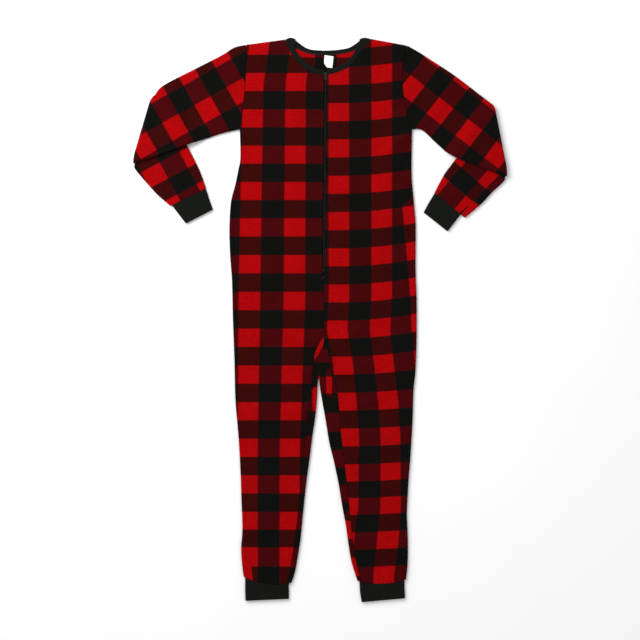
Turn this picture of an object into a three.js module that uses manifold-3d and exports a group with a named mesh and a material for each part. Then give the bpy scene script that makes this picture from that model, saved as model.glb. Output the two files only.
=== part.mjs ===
// One-piece pyjama in checked fleece, laid flat on its back, each sleeve folded under at the elbow.
// Millimetres: +X towards the wearer's left, +Y towards the neck, +Z up from the surface it lies on.

import * as THREE from 'three';
import { mergeVertices } from 'three/addons/utils/BufferGeometryUtils.js';
import ManifoldModule from 'manifold-3d';

const wasm = await ManifoldModule();
wasm.setup();

// Cloth
const fleeceThickness = 2.6;
const ribThickness = 2.2;
const halfLoft = 4; // half the height of a flat tube of fleece
const cuffHalfLoft = 3.6;
const seamGap = 0.3;
const ribRelief = 0.6;
const ribsAcrossAnkle = 14;
const ribsAcrossWrist = 11;
const gatherHeight = 0.9; // the fleece puckers where a cuff draws it in
const gatherReach = 55;
const loft = 2 * halfLoft;

// Zip, a fine closed coil
const zipHalfOpening = 3.5; // the tape shows this far to each side
const tapeThickness = 0.7;
const tapeHidden = 5; // under each front
const tapeFloor = 4.3;
const coilTop = 6.1;
const coilHalfWidth = 1.6;
const zipTop = 622;
const coilEnd = 611;
const zipStopY = 123.8;
const zipBottom = 114;
const sliderY = 613.5;
const sliderLength = 9.5;
const sliderHalfWidth = 3.05;
const plateThickness = 0.9;
const plateTop = 7.5;
const pullAxisZ = 8.75;
const pullThickness = 1;
const pullLength = 15;
const pullHalfWidth = 2.3;

// Rows of numbers become rows with named columns
const table = (names, rows) => rows.map((row) => Object.fromEntries(names.map((name, i) => [name, row[i]])));
const lerp = THREE.MathUtils.lerp;
const smoothstep = THREE.MathUtils.smoothstep;
const radians = THREE.MathUtils.degToRad;
const point = (x, y, z) => new THREE.Vector3(x, y, z);

// Where the legs part, where the front seams meet above it, and the lowest points of the neck
const fork = { x: -2.5, y: -163.8 };
const crotch = { x: 11.3, y: -36.3 };
const underarmY = 476;
const frontNeckY = 611.3;
const backNeck = { x: 11.3, y: 662.3 };
const ankleY = -650;

// Middle line of the front: seam below, zip above
const middleLine = table(['y', 'x'], [[660, 14], [608.8, 13.8], [360, 11.6], [123.8, 8.8], [30, 10], [-36.3, 11.3]]);

// Each side of the body. The outer edge is the side seam, the inner edge the fold of the leg,
// and the inseam lies on top of the leg because the back wraps round it.
const bodySides = {
  right: {
    outward: -1,
    sideSeam: table(['y', 'x'], [
      [476, -200], [401, -199], [376, -203.8], [339, -211.3], [301, -221.3], [264, -225], [214, -226.3],
      [151, -223.8], [101, -220], [1, -217.5], [-99, -213.8], [-199, -211.3], [-289, -203.8],
      [-374, -198.8], [-449, -196.3], [-524, -193.8], [-574, -197], [-629, -193.5], [-660, -189],
    ]),
    legFold: table(['y', 'x'], [
      [-163.8, -4.5], [-199, -6.3], [-239, -11.3], [-289, -18.8], [-349, -26.3], [-404, -33.8], [-449, -38.8],
      [-499, -43.8], [-549, -48.8], [-594, -56.3], [-629, -63.8], [-660, -75],
    ]),
    inseam: table(['y', 'x'], [
      [-36.3, 11.3], [-79, -11.3], [-114, -16.3], [-179, -22.5], [-274, -33.8], [-361, -43.8], [-449, -51.3],
      [-549, -63], [-629, -77], [-660, -86],
    ]),
    armhole: { top: point(-184, 687.5, 0), bottom: point(-200, 476.3, 0), bow: 5 },
    shoulderNeck: point(-86, 700.5, 0),
    ankle: { innerY: -656, outerY: -641, sag: 10 },
    frontNeck: table(['x', 'y', 'freeX', 'freeY'], [
      [10.3, 611.3, 10.3, 624.3], [-8.8, 614.8, -5, 627], [-39.8, 630.3, -31, 640], [-62, 652.5, -51, 659.5],
      [-74.3, 670.5, -61.5, 675], [-86, 696.5, -61.3, 697.8],
    ]),
    backNeck: table(['x', 'y', 'freeX', 'freeY'], [
      [11.3, 662.3, 11.3, 671.3], [-23, 667.5, -18.8, 676.3], [-52, 677, -37, 681.5], [-68, 687, -52, 691.8],
      [-86, 696.5, -61.3, 697.8],
    ]),
    neckTip: point(-74, 705, 0),
  },
  left: {
    outward: 1,
    sideSeam: table(['y', 'x'], [
      [476, 230], [364, 228.8], [301, 233.8], [239, 238.8], [126, 238.8], [51, 241.3], [-49, 241.3],
      [-124, 238.8], [-174, 233.8], [-249, 231.3], [-336, 226.3], [-399, 221.3], [-461, 218],
      [-486, 217], [-549, 219.5], [-611, 218.8], [-660, 214],
    ]),
    legFold: table(['y', 'x'], [
      [-163.8, 0.5], [-189, 3.8], [-249, 13.8], [-309, 23.8], [-349, 33.8], [-409, 46.3], [-469, 56.3],
      [-509, 63.8], [-561, 71.3], [-604, 78.8], [-636, 88.8], [-660, 97],
    ]),
    inseam: table(['y', 'x'], [
      [-36.3, 11.3], [-74, 18.8], [-134, 31.3], [-184, 43.8], [-274, 51.3], [-359, 61.3], [-444, 71.3],
      [-524, 78.3], [-604, 90], [-660, 107],
    ]),
    armhole: { top: point(216.3, 685.5, 0), bottom: point(230, 475.5, 0), bow: 17 },
    shoulderNeck: point(127, 702, 0),
    ankle: { innerY: -651, outerY: -648, sag: 9.5 },
    frontNeck: table(['x', 'y', 'freeX', 'freeY'], [
      [17.3, 611.3, 17.3, 624.3], [49.8, 621.3, 46, 634], [72, 632.5, 64, 643], [89.8, 652.5, 79, 659],
      [101, 670.5, 89, 675], [127, 698, 98.8, 697.8],
    ]),
    backNeck: table(['x', 'y', 'freeX', 'freeY'], [
      [11.3, 662.3, 11.3, 671.3], [45, 667.5, 41.3, 676.3], [76, 673, 71.3, 681.3], [100, 684, 88, 690],
      [127, 698, 98.8, 697.8],
    ]),
    neckTip: point(111.3, 705, 0),
  },
};

// Each sleeve: a is the end of a section on the top edge, b its end on the underarm edge.
const sleeves = {
  right: {
    outward: -1,
    fold: { a: point(-420, 562.5, 0), b: point(-466.3, 391.3, 0) },
    elbow: point(-328.8, 437.5, 0),
    upper: table(['ax', 'ay', 'bx', 'by', 'bow'], [
      [-184.5, 687.5, -200.5, 476.3, 5], [-213.8, 680.5, -226, 470.5, 3], [-246, 661, -251, 464, 1],
      [-314, 626, -289, 451, 0], [-389, 587, -328.8, 437.5, 0],
    ]),
    lower: table(['ax', 'ay', 'bx', 'by'], [
      [-380, 508, -459, 378], [-346, 461, -448, 361], [-314, 401, -430, 339], [-297, 364, -406, 313],
      [-284.5, 329, -373, 284.5],
    ]),
    cuff: table(['ax', 'ay', 'bx', 'by'], [
      [-285.2, 328.2, -369.2, 286], [-277, 303, -353, 264], [-267.5, 276, -335, 241],
    ]),
  },
  left: {
    outward: 1,
    fold: { a: point(434.5, 541, 0), b: point(466.3, 358.8, 0) },
    elbow: point(338.8, 405, 0),
    upper: table(['ax', 'ay', 'bx', 'by', 'bow'], [
      [217.3, 685.5, 230.9, 475.5, 17], [246, 669.5, 246, 477, 10], [276, 650, 262, 469, 5],
      [331, 614, 297, 436, 0], [383, 575, 338.8, 405, 0],
    ]),
    lower: table(['ax', 'ay', 'bx', 'by'], [
      [398, 480, 461, 349], [364, 435, 451, 337], [329, 389, 430, 319], [309, 361, 404, 291],
      [286, 318, 362, 255],
    ]),
    cuff: table(['ax', 'ay', 'bx', 'by'], [
      [286.5, 317.1, 351.3, 263.5], [271, 291, 334, 241], [258.8, 268.8, 318.8, 221.3],
    ]),
  },
};

// Ankle cuffs: a on the inner side of the leg, b on the outer side, the lower edge's heights,
// and the share of the way from the leg's end down to that edge
const ankleCuffs = {
  right: table(['ax', 'ay', 'bx', 'by', 'share'], [
    [-78, -696.3, -187, -701.3, 0], [-77.5, -696.3, -187, -701.3, 0.5], [-77.5, -696.3, -186.3, -701.3, 1],
  ]),
  left: table(['ax', 'ay', 'bx', 'by', 'share'], [
    [99, -705, 211, -695, 0], [101, -705, 212, -695, 0.5], [103.8, -705, 212.5, -695, 1],
  ]),
};

// Soft folds of the upper layer: a ridge or trough from one end to the other
const bodyFolds = table(['x0', 'y0', 'x1', 'y1', 'height', 'width'], [
  [-196, 470, -120, 395, 2.2, 13], [-196, 440, -140, 330, -1.4, 14], [222, 466, 150, 388, 2.2, 13],
  [226, 430, 176, 330, -1.4, 14], [-150, 250, -130, 60, 1.4, 22], [170, 270, 150, 40, 1.4, 24],
  [-5, -60, -110, -10, 2, 14], [-16, -110, -120, -80, -1.4, 14], [34, -60, 130, 0, 2, 14],
  [40, -120, 140, -90, -1.4, 14], [-40, -240, -130, -200, 1.8, 14], [66, -230, 150, -190, 1.8, 14],
  [-120, -300, -128, -560, 1.3, 22], [150, -300, 146, -560, 1.3, 22], [-194, -570, -168, -613, 1.8, 10],
  [-60, 560, -120, 400, 1.1, 26], [110, 560, 150, 420, 1.1, 26],
]);
const upperSleeveFolds = table(['x0', 'y0', 'x1', 'y1', 'height', 'width'], [
  [-232, 490, -300, 560, 2, 14], [-410, 520, -350, 460, 1.8, 13], [-440, 440, -372, 430, 1.6, 12],
  [252, 492, 320, 560, 2, 14], [424, 500, 356, 440, 1.8, 13], [444, 410, 384, 400, 1.6, 12],
]);
const lowerSleeveFolds = table(['x0', 'y0', 'x1', 'y1', 'height', 'width'], [
  [-330, 395, -400, 345, 1.6, 13], [332, 376, 398, 318, 1.6, 13],
]);

// Smooth value of one column at a height, with the slope at each row taken from its neighbours
function smoothAt(rows, y) {
  const slope = (i) => {
    const before = rows[Math.max(i - 1, 0)];
    const after = rows[Math.min(i + 1, rows.length - 1)];
    return (after.x - before.x) / (after.y - before.y);
  };
  const found = rows.findIndex((row, i) => i > 0 && row.y <= y);
  const i = found < 0 ? rows.length - 1 : found;
  const [high, low] = [rows[i - 1], rows[i]];
  const span = low.y - high.y;
  const t = THREE.MathUtils.clamp((y - high.y) / span, 0, 1);
  const [t2, t3] = [t * t, t * t * t];
  return (2 * t3 - 3 * t2 + 1) * high.x + (t3 - 2 * t2 + t) * span * slope(i - 1)
    + (3 * t2 - 2 * t3) * low.x + (t3 - t2) * span * slope(i);
}

// Rows of a table with smooth rows added between them
function refined(rows, steps) {
  const names = Object.keys(rows[0]);
  const result = [];
  rows.slice(1).forEach((row, i) => {
    const around = [rows[Math.max(i - 1, 0)], rows[i], row, rows[Math.min(i + 2, rows.length - 1)]];
    for (let step = i === 0 ? 0 : 1; step <= steps; step += 1) {
      const t = step / steps;
      const spline = (name) => {
        const [p0, p1, p2, p3] = around.map((entry) => entry[name]);
        return 0.5 * (2 * p1 + (p2 - p0) * t + (2 * p0 - 5 * p1 + 4 * p2 - p3) * t * t
          + (3 * p1 - p0 - 3 * p2 + p3) * t * t * t);
      };
      result.push(Object.fromEntries(names.map((name) => [name, spline(name)])));
    }
  });
  return result;
}

// Height that the folds of a table give a place on the cloth
function relief(folds, x, y) {
  return folds.reduce((sum, fold) => {
    const [dx, dy] = [fold.x1 - fold.x0, fold.y1 - fold.y0];
    const t = ((x - fold.x0) * dx + (y - fold.y0) * dy) / (dx * dx + dy * dy);
    const along = THREE.MathUtils.clamp(t, 0, 1);
    const away = Math.hypot(x - fold.x0 - along * dx, y - fold.y0 - along * dy);
    return sum + fold.height * Math.exp(-((away / fold.width) ** 2)) * (1 - 0.6 * along);
  }, 0);
}

// A wall of cloth: matching outer and inner points, faces shared, and a rim round every free edge
class Wall {
  constructor() {
    this.outer = [];
    this.inner = [];
    this.faces = [];
    this.seen = new Map();
  }

  vertex(node) {
    const key = node.outer.toArray().map((value) => value.toFixed(3)).join();
    if (!this.seen.has(key)) {
      this.seen.set(key, this.outer.length);
      this.outer.push(node.outer);
      this.inner.push(node.inner);
    }
    return this.seen.get(key);
  }

  face(a, b, c) {
    if (a !== b && b !== c && c !== a) this.faces.push([a, b, c]);
  }

  grid(rows, { closed = false, flipped = false } = {}) {
    const index = rows.map((row) => row.map((node) => this.vertex(node)));
    for (let j = 0; j + 1 < rows.length; j += 1) {
      const count = rows[j].length;
      for (let k = 0; k + (closed ? 0 : 1) < count; k += 1) {
        const next = (k + 1) % count;
        const quad = [index[j][k], index[j][next], index[j + 1][next], index[j + 1][k]];
        if (flipped) quad.reverse();
        this.face(quad[0], quad[1], quad[2]);
        this.face(quad[0], quad[2], quad[3]);
      }
    }
    return this;
  }

  geometry() {
    const count = this.outer.length;
    const edges = new Set(this.faces.flatMap(([a, b, c]) => [`${a} ${b}`, `${b} ${c}`, `${c} ${a}`]));
    const triangles = this.faces.flatMap(([a, b, c]) => [[a, b, c], [count + a, count + c, count + b]]);
    for (const edge of edges) {
      const [from, to] = edge.split(' ').map(Number);
      if (!edges.has(`${to} ${from}`)) {
        triangles.push([to, from, count + from], [to, count + from, count + to]);
      }
    }
    const geometry = new THREE.BufferGeometry();
    const positions = [...this.outer, ...this.inner].flatMap((p) => p.toArray());
    geometry.setAttribute('position', new THREE.Float32BufferAttribute(positions, 3));
    geometry.setIndex(triangles.flat());
    return geometry;
  }
}

// A solid through matching closed sections, capped at both ends
function lofted(sections) {
  const sides = sections[0].length;
  const positions = sections.flat().flatMap((p) => p.toArray());
  const index = [];
  for (let j = 0; j + 1 < sections.length; j += 1) {
    for (let k = 0; k < sides; k += 1) {
      const next = (k + 1) % sides;
      const [a, b, c, d] = [j * sides + k, j * sides + next, (j + 1) * sides + next, (j + 1) * sides + k];
      index.push(a, b, c, a, c, d);
    }
  }
  const flat = sections[0].map((p) => new THREE.Vector2(p.x, p.z));
  const clockwise = THREE.ShapeUtils.isClockWise(flat);
  const last = (sections.length - 1) * sides;
  for (const [a, p, q] of THREE.ShapeUtils.triangulateShape(flat, [])) {
    const [b, c] = clockwise ? [q, p] : [p, q];
    index.push(a, c, b, last + a, last + b, last + c);
  }
  const geometry = new THREE.BufferGeometry();
  geometry.setAttribute('position', new THREE.Float32BufferAttribute(positions, 3));
  geometry.setIndex(index);
  return geometry;
}

const cloth = (outer, normal, thickness = fleeceThickness) => (
  { outer, inner: outer.clone().addScaledVector(normal, -thickness) });

// Body: rows run from the inner edge of a side to its outer edge, from the ankle to the shoulder.
const columnsAcross = 6;
const roundSteps = [90, 45, 0]; // degrees round a side or shoulder seam

const levelOf = (layer) => (layer === 'top' ? 1 : -1);

// A point of the upper or lower layer, rounded towards a seam by the angle, out along the direction
function layerNode(layer, x, y, angle, out) {
  const up = levelOf(layer);
  const [cos, sin] = [Math.cos(radians(angle)), Math.sin(radians(angle))];
  const raised = layer === 'top' ? bodyRelief(x, y) * sin : 0;
  const seam = angle === 0 ? up * seamGap / 2 : 0;
  const z = halfLoft + up * halfLoft * sin + raised + seam;
  return cloth(point(x, y, z), point(out.x * cos, out.y * cos, up * sin));
}

// Folds fade out at the zip, so the cloth lies level beside it
function bodyRelief(x, y) {
  const beside = Math.abs(x - smoothAt(middleLine, y));
  return relief(bodyFolds, x, y) * smoothstep(beside, 6, 40);
}

// How far a row of the leg is bent down at a place by the curve of the leg's end, which fades out upwards
function ankleBend(side, x, y) {
  const { innerY, outerY, sag } = side.ankle;
  const foldX = smoothAt(side.legFold, y);
  const u = THREE.MathUtils.clamp((x - foldX) / (smoothAt(side.sideSeam, y) - foldX), 0, 1);
  const fade = smoothstep(ankleY + 100 - y, 0, 100);
  return (lerp(innerY, outerY, u) - ankleY - 4 * sag * u * (1 - u)) * fade;
}

// One row of a layer from an inner edge to a seam at the outer edge
function seamedRow(layer, side, innerX, y) {
  const outerX = smoothAt(side.sideSeam, y);
  const pucker = gatherHeight * Math.max(0, 1 - (y - ankleY) / gatherReach);
  const bent = (x) => y + ankleBend(side, x, y);
  const row = [];
  for (let k = 0; k < columnsAcross; k += 1) {
    const x = lerp(innerX, outerX - side.outward * halfLoft, k / columnsAcross);
    const node = layerNode(layer, x, bent(x), 90, point(0, 0, 0));
    if (layer === 'top') {
      const rise = pucker * (k % 2 === 0 ? -1 : 1);
      node.outer.z += rise;
      node.inner.z += rise;
    }
    row.push(node);
  }
  for (const angle of roundSteps) {
    const x = outerX - side.outward * halfLoft * (1 - Math.cos(radians(angle)));
    row.push(layerNode(layer, x, bent(x), angle, point(side.outward, 0, 0)));
  }
  return row;
}

// The armhole at a distance below its top
function armholePoint(side, below) {
  const { top, bottom, bow } = side.armhole;
  const fraction = below / (top.y - bottom.y);
  const end = top.clone().lerp(bottom, fraction);
  end.x -= side.outward * bow * 4 * fraction * (1 - fraction);
  return end;
}

// One row of a layer from an inner point to the armhole, where it is cut open
const openColumns = columnsAcross + roundSteps.length - 1;
const openSpacing = 4;
function openRow(layer, inner, end, angle = 90) {
  return Array.from({ length: openColumns + 1 }, (_, k) => {
    const fromEnd = (openColumns - k) * openSpacing / Math.abs(end.x - inner.x);
    const u = k < columnsAcross ? (k / columnsAcross) * (1 - 0.2 / columnsAcross) : 1 - fromEnd;
    return layerNode(layer, lerp(inner.x, end.x, u), lerp(inner.y, end.y, u), angle, point(0, 1, 0));
  });
}

// Rows along the armhole from the underarm to where the shoulder begins to round
function armholeRow(layer, side, inner, fraction) {
  const length = side.armhole.top.y - side.armhole.bottom.y;
  return openRow(layer, inner, armholePoint(side, lerp(length, halfLoft, fraction)));
}

// Rows that round over the shoulder seam, from the neck to the armhole
function shoulderRows(layer, side) {
  return roundSteps.slice(1).map((angle) => {
    const drop = halfLoft * (1 - Math.cos(radians(angle)));
    const neck = point(side.shoulderNeck.x + side.outward * seamGap, side.shoulderNeck.y - drop, 0);
    return openRow(layer, neck, armholePoint(side, drop), angle);
  });
}

const between = (from, to, steps) => Array.from({ length: steps }, (_, i) => lerp(from, to, i / steps));
const legHeights = [ankleY, ankleY + 8, ankleY + 22, ...between(ankleY + 44, fork.y, 10)];
const forkHeights = [...between(fork.y, crotch.y, 4)];
const lowerBodyHeights = [crotch.y, 5, 50, 104];
const zipHeights = [zipStopY - 6, ...between(155, underarmY, 8)];
const backHeights = between(crotch.y, underarmY, 11);

// The neckline of a side in smooth steps, moved out from the neckband by the gap of the seam
const neckSteps = 2;
function necklineOf(rows) {
  return refined(rows, neckSteps).map((row) => {
    const out = point(row.x - row.freeX, row.y - row.freeY, 0).normalize();
    return point(row.x, row.y, 0).addScaledVector(out, seamGap);
  });
}

function frontPanel(side) {
  const rowsFrom = (line, heights, apart) => heights.map((y) => (
    seamedRow('top', side, smoothAt(line, y) + side.outward * apart, y)));
  const rows = [
    ...rowsFrom(side.inseam, [...legHeights, ...forkHeights], seamGap),
    ...rowsFrom(middleLine, lowerBodyHeights, seamGap / 2),
    ...rowsFrom(middleLine, zipHeights, zipHalfOpening),
  ];
  const chestSteps = 4;
  for (let i = 0; i < chestSteps; i += 1) {
    const y = lerp(underarmY, frontNeckY, i / chestSteps);
    const x = smoothAt(middleLine, y) + side.outward * zipHalfOpening;
    rows.push(armholeRow('top', side, { x, y }, 0.45 * i / chestSteps));
  }
  const neckline = necklineOf(side.frontNeck);
  neckline.forEach((inner, i) => {
    rows.push(armholeRow('top', side, inner, lerp(0.45, 1, i / (neckline.length - 1))));
  });
  rows.push(...shoulderRows('top', side));
  return new Wall().grid(rows, { flipped: side.outward < 0 }).geometry();
}

// Back: its leg wraps round the inner fold on to the top, up to the inseam
const foldAngles = [90, 45, 0, -45, -90];

function wrappedRow(side, y, isFork) {
  const foldX = smoothAt(side.legFold, y);
  const inseamX = smoothAt(side.inseam, y);
  const centreX = foldX + side.outward * halfLoft;
  const flatTop = (x) => cloth(point(x, y, loft), point(0, 0, 1));
  const bend = foldAngles.map((angle) => {
    const [cos, sin] = [Math.cos(radians(angle)), Math.sin(radians(angle))];
    if (isFork) {
      return cloth(point(fork.x, fork.y + halfLoft * (1 - cos), halfLoft * (1 + sin)), point(0, -cos, sin));
    }
    const x = centreX - side.outward * halfLoft * cos;
    return cloth(point(x, y, halfLoft * (1 + sin)), point(-side.outward * cos, 0, sin));
  });
  const stripX = isFork ? fork.x : centreX;
  const strip = [flatTop(inseamX), flatTop(lerp(inseamX, stripX, 0.5))];
  const last = bend[bend.length - 1].outer;
  return { strip, bend, bottom: seamedRow('bottom', side, last.x, y).slice(1) };
}

function backPanel() {
  const wall = new Wall();
  const centreX = (y) => lerp(fork.x, backNeck.x, THREE.MathUtils.clamp((y - fork.y) / (backNeck.y - fork.y), 0, 1));
  for (const side of Object.values(bodySides)) {
    const options = { flipped: side.outward > 0 };
    const legRows = [...legHeights, fork.y].map((y) => {
      const { strip, bend, bottom } = wrappedRow(side, y, y === fork.y);
      const row = [...strip, ...bend, ...bottom];
      for (const node of row.slice(0, strip.length + bend.length)) {
        const down = ankleBend(side, node.outer.x, y);
        node.outer.y += down;
        node.inner.y += down;
      }
      return row;
    });
    wall.grid(legRows, options);

    const capRows = [fork.y, ...forkHeights.slice(1), crotch.y - seamGap].map((y, i) => {
      const middleX = lerp(fork.x, crotch.x, i / forkHeights.length);
      const middleY = i === 0 ? fork.y + halfLoft : y;
      const inseamX = i === forkHeights.length ? crotch.x : smoothAt(side.inseam, y);
      return [0, 0.5, 1].map((u) => {
        const rowY = u === 1 ? middleY : y;
        return cloth(point(lerp(inseamX, middleX, u), rowY, loft), point(0, 0, 1));
      });
    });
    wall.grid(capRows, options);

    const bodyRows = [legRows[legRows.length - 1].slice(-(columnsAcross + roundSteps.length))];
    for (const y of [...forkHeights.slice(1), ...backHeights]) {
      bodyRows.push(seamedRow('bottom', side, centreX(y), y));
    }
    const chestSteps = 6;
    const neckline = necklineOf(side.backNeck);
    for (let i = 0; i < chestSteps; i += 1) {
      const y = lerp(underarmY, neckline[0].y, i / chestSteps);
      bodyRows.push(armholeRow('bottom', side, { x: centreX(y), y }, 0.8 * i / chestSteps));
    }
    neckline.forEach((inner, i) => {
      bodyRows.push(armholeRow('bottom', side, inner, lerp(0.8, 1, i / (neckline.length - 1))));
    });
    bodyRows.push(...shoulderRows('bottom', side));
    wall.grid(bodyRows, options);
  }
  return wall.geometry();
}

// A flattened ring as distance across and height, outer and inner, from the a end over the top to b and back
function flatRing(width, { across, acrossBelow = across, half = halfLoft, thickness = fleeceThickness, ribs = 0 }) {
  const ring = [];
  const add = (s, h, angle, raise = 0) => {
    const [cos, sin] = [Math.cos(radians(angle)), Math.sin(radians(angle))];
    const [outS, outH] = [s + half * cos, h + half * sin];
    ring.push({
      outer: { s: outS + raise * cos, h: outH + raise * sin },
      inner: { s: outS - thickness * cos, h: outH - thickness * sin },
    });
  };
  for (let k = 0; k <= across; k += 1) {
    add(lerp(half, width - half, k / across), half, 90, k % 2 === 1 ? ribs : 0);
  }
  for (const angle of [45, 0, -45]) add(width - half, half, angle);
  for (let k = 0; k <= acrossBelow; k += 1) add(lerp(width - half, half, k / acrossBelow), half, -90);
  for (const angle of [-135, 180, 135]) add(half, half, angle);
  return ring;
}

// The upper arm rises over the lower arm, which lies under it as far as the line from fold to elbow
const drapeStart = 8;
const drapeReach = 40;
function drapeHeight(sleeve, x, y) {
  const { fold, elbow, outward } = sleeve;
  const line = elbow.clone().sub(fold.a).normalize();
  const aside = outward * ((x - fold.a.x) * line.y - (y - fold.a.y) * line.x);
  return (loft + seamGap) * (1 - smoothstep(aside, drapeStart, drapeStart + drapeReach));
}

const ringAcross = 5;

function sectionNodes(row, place, options) {
  const from = point(row.ax, row.ay, 0);
  const along = point(row.bx, row.by, 0).sub(from);
  const width = along.length();
  along.normalize();
  return flatRing(width, { across: ringAcross, ...options }).map(({ outer, inner }) => {
    const put = ({ s, h }) => place(from.clone().addScaledVector(along, s), h, s / width, row);
    return { outer: put(outer), inner: put(inner) };
  });
}

function sleevePiece(sleeve) {
  const { fold, outward } = sleeve;
  const across = fold.b.clone().sub(fold.a).normalize();
  const out = point(-across.y, across.x, 0).multiplyScalar(outward);
  const axisInset = loft + seamGap / 2;
  const axis = {
    ax: fold.a.x - out.x * axisInset, ay: fold.a.y - out.y * axisInset,
    bx: fold.b.x - out.x * axisInset, by: fold.b.y - out.y * axisInset,
  };
  const upperRows = refined([...sleeve.upper, { ...axis, bow: 0 }], 2);
  const placeUpper = (p, h, u, row) => {
    const x = p.x - outward * row.bow * 4 * u * (1 - u);
    const z = drapeHeight(sleeve, x, p.y) + h + relief(upperSleeveFolds, x, p.y) * h / loft;
    return point(x, p.y, z);
  };
  const placeTurned = (turn) => (p, h) => {
    const reach = seamGap / 2 + h;
    const z = loft + seamGap / 2 + reach * Math.cos(turn);
    return point(p.x, p.y, z).addScaledVector(out, reach * Math.sin(turn));
  };
  const placeLower = (p, h) => {
    const raised = relief(lowerSleeveFolds, p.x, p.y) * (1 - h / loft);
    return point(p.x, p.y, loft - h + raised);
  };
  const rows = upperRows.map((row) => sectionNodes(row, placeUpper));
  rows.pop();
  for (const degrees of [0, 45, 90, 135, 180]) {
    rows.push(sectionNodes(axis, placeTurned(radians(degrees))));
  }
  rows.push(...sleeve.lower.map((row) => sectionNodes(row, placeLower)));
  return new Wall().grid(rows, { closed: true, flipped: outward < 0 }).geometry();
}

function ribbedCuff(rows, ribs, flipped, place) {
  const options = {
    across: 2 * ribs, acrossBelow: 6, half: cuffHalfLoft, thickness: ribThickness, ribs: ribRelief,
  };
  const nodes = rows.map((row) => sectionNodes(row, place, options));
  return new Wall().grid(nodes, { closed: true, flipped }).geometry();
}

const wristCuff = (sleeve, flipped) => (
  ribbedCuff(sleeve.cuff, ribsAcrossWrist, flipped, (p, h) => point(p.x, p.y, h)));

// An ankle cuff's upper edge follows the end of the leg
function ankleCuff(side, rows, flipped) {
  const place = (p, h, u, { share }) => {
    const legEnd = ankleY + ankleBend(side, p.x, ankleY) - seamGap;
    return point(p.x, lerp(legEnd, p.y, share), h);
  };
  return ribbedCuff(rows, ribsAcrossAnkle, flipped, place);
}

// Neckband: three columns from its seam to its free edge, turned over at both neck tips
function neckbandPiece() {
  const sectionOf = (seam, free, tipMid, angle) => {
    const [cos, sin] = [Math.cos(radians(angle)), Math.sin(radians(angle))];
    const middle = tipMid ?? seam.clone().lerp(free, 0.5);
    return [seam, middle, free].map((p) => {
      const y = p.y + (tipMid ? halfLoft * cos : 0);
      return cloth(point(p.x, y, halfLoft * (1 + sin)), point(0, cos, sin));
    });
  };
  const flatSections = (rows, angle) => refined(rows, neckSteps).slice(0, -1).map((row) => (
    sectionOf(point(row.x, row.y, 0), point(row.freeX, row.freeY, 0), null, angle)));
  const tipSections = (side) => foldAngles.map((angle) => {
    const last = side.frontNeck[side.frontNeck.length - 1];
    const seam = point(side.shoulderNeck.x, side.shoulderNeck.y - halfLoft, 0);
    const middle = point(side.neckTip.x, side.neckTip.y - halfLoft, 0);
    return sectionOf(seam, point(last.freeX, last.freeY, 0), middle, angle);
  });
  const { right, left } = bodySides;
  const rows = [
    ...flatSections(left.frontNeck, 90),
    ...tipSections(left),
    ...flatSections(left.backNeck, -90).reverse(),
    ...flatSections(right.backNeck, -90).slice(1),
    ...tipSections(right).reverse(),
    ...flatSections(right.frontNeck, 90).reverse(),
  ];
  return new Wall().grid(rows, { flipped: true }).geometry();
}

// One zip tape with its half of the coil, in sections up the middle line
function zipTape(outward) {
  const coilStart = zipStopY + 3;
  const stations = table(['y', 'apart', 'coil'], [
    [zipBottom, 0.15, 0], [coilStart - 0.6, 0.15, 0], [coilStart, 0.15, 1],
    ...between(150, coilEnd, 8).map((y) => [y, 0.15, 1]),
    [coilEnd, 0.15, 1], [coilEnd + 0.6, 0.15, 0], [coilEnd + 3, 1.5, 0], [zipTop, 1.8, 0],
  ]);
  const sections = stations.map(({ y, apart, coil }) => {
    const middle = smoothAt(middleLine, y);
    const top = tapeFloor + tapeThickness;
    const crest = coil ? coilTop : top + 0.02;
    const outline = [
      [apart, tapeFloor], [zipHalfOpening + tapeHidden, tapeFloor], [zipHalfOpening + tapeHidden, top],
      [coilHalfWidth + apart, top], [coilHalfWidth * 0.8 + apart, crest], [apart, crest],
    ];
    return outline.map(([x, z]) => point(middle + outward * x, y, z));
  });
  if (outward > 0) sections.forEach((section) => section.reverse());
  return lofted(sections);
}

// A box between two corners
function block(x0, x1, y0, y1, z0, z1) {
  return new THREE.BoxGeometry(x1 - x0, y1 - y0, z1 - z0).translate((x0 + x1) / 2, (y0 + y1) / 2, (z0 + z1) / 2);
}

function toManifold(geometry) {
  const bare = geometry.clone();
  bare.deleteAttribute('normal');
  bare.deleteAttribute('uv');
  const merged = mergeVertices(bare);
  const mesh = new wasm.Mesh({
    numProp: 3, vertProperties: merged.attributes.position.array, triVerts: new Uint32Array(merged.index.array),
  });
  return new wasm.Manifold(mesh);
}

function fromManifold(solid) {
  const mesh = solid.getMesh();
  const geometry = new THREE.BufferGeometry();
  geometry.setAttribute('position', new THREE.BufferAttribute(mesh.vertProperties, 3));
  geometry.setIndex(new THREE.BufferAttribute(mesh.triVerts, 1));
  return geometry;
}

// Bridge over the pull's crossbar, along Y
const bridgeHalfWidth = 0.7;
const bridgeLeg = 1.2;
const bridgeReach = 3.4;
const bridgeBelow = pullAxisZ + 0.8;
const bridgeTop = bridgeBelow + 0.9;

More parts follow.
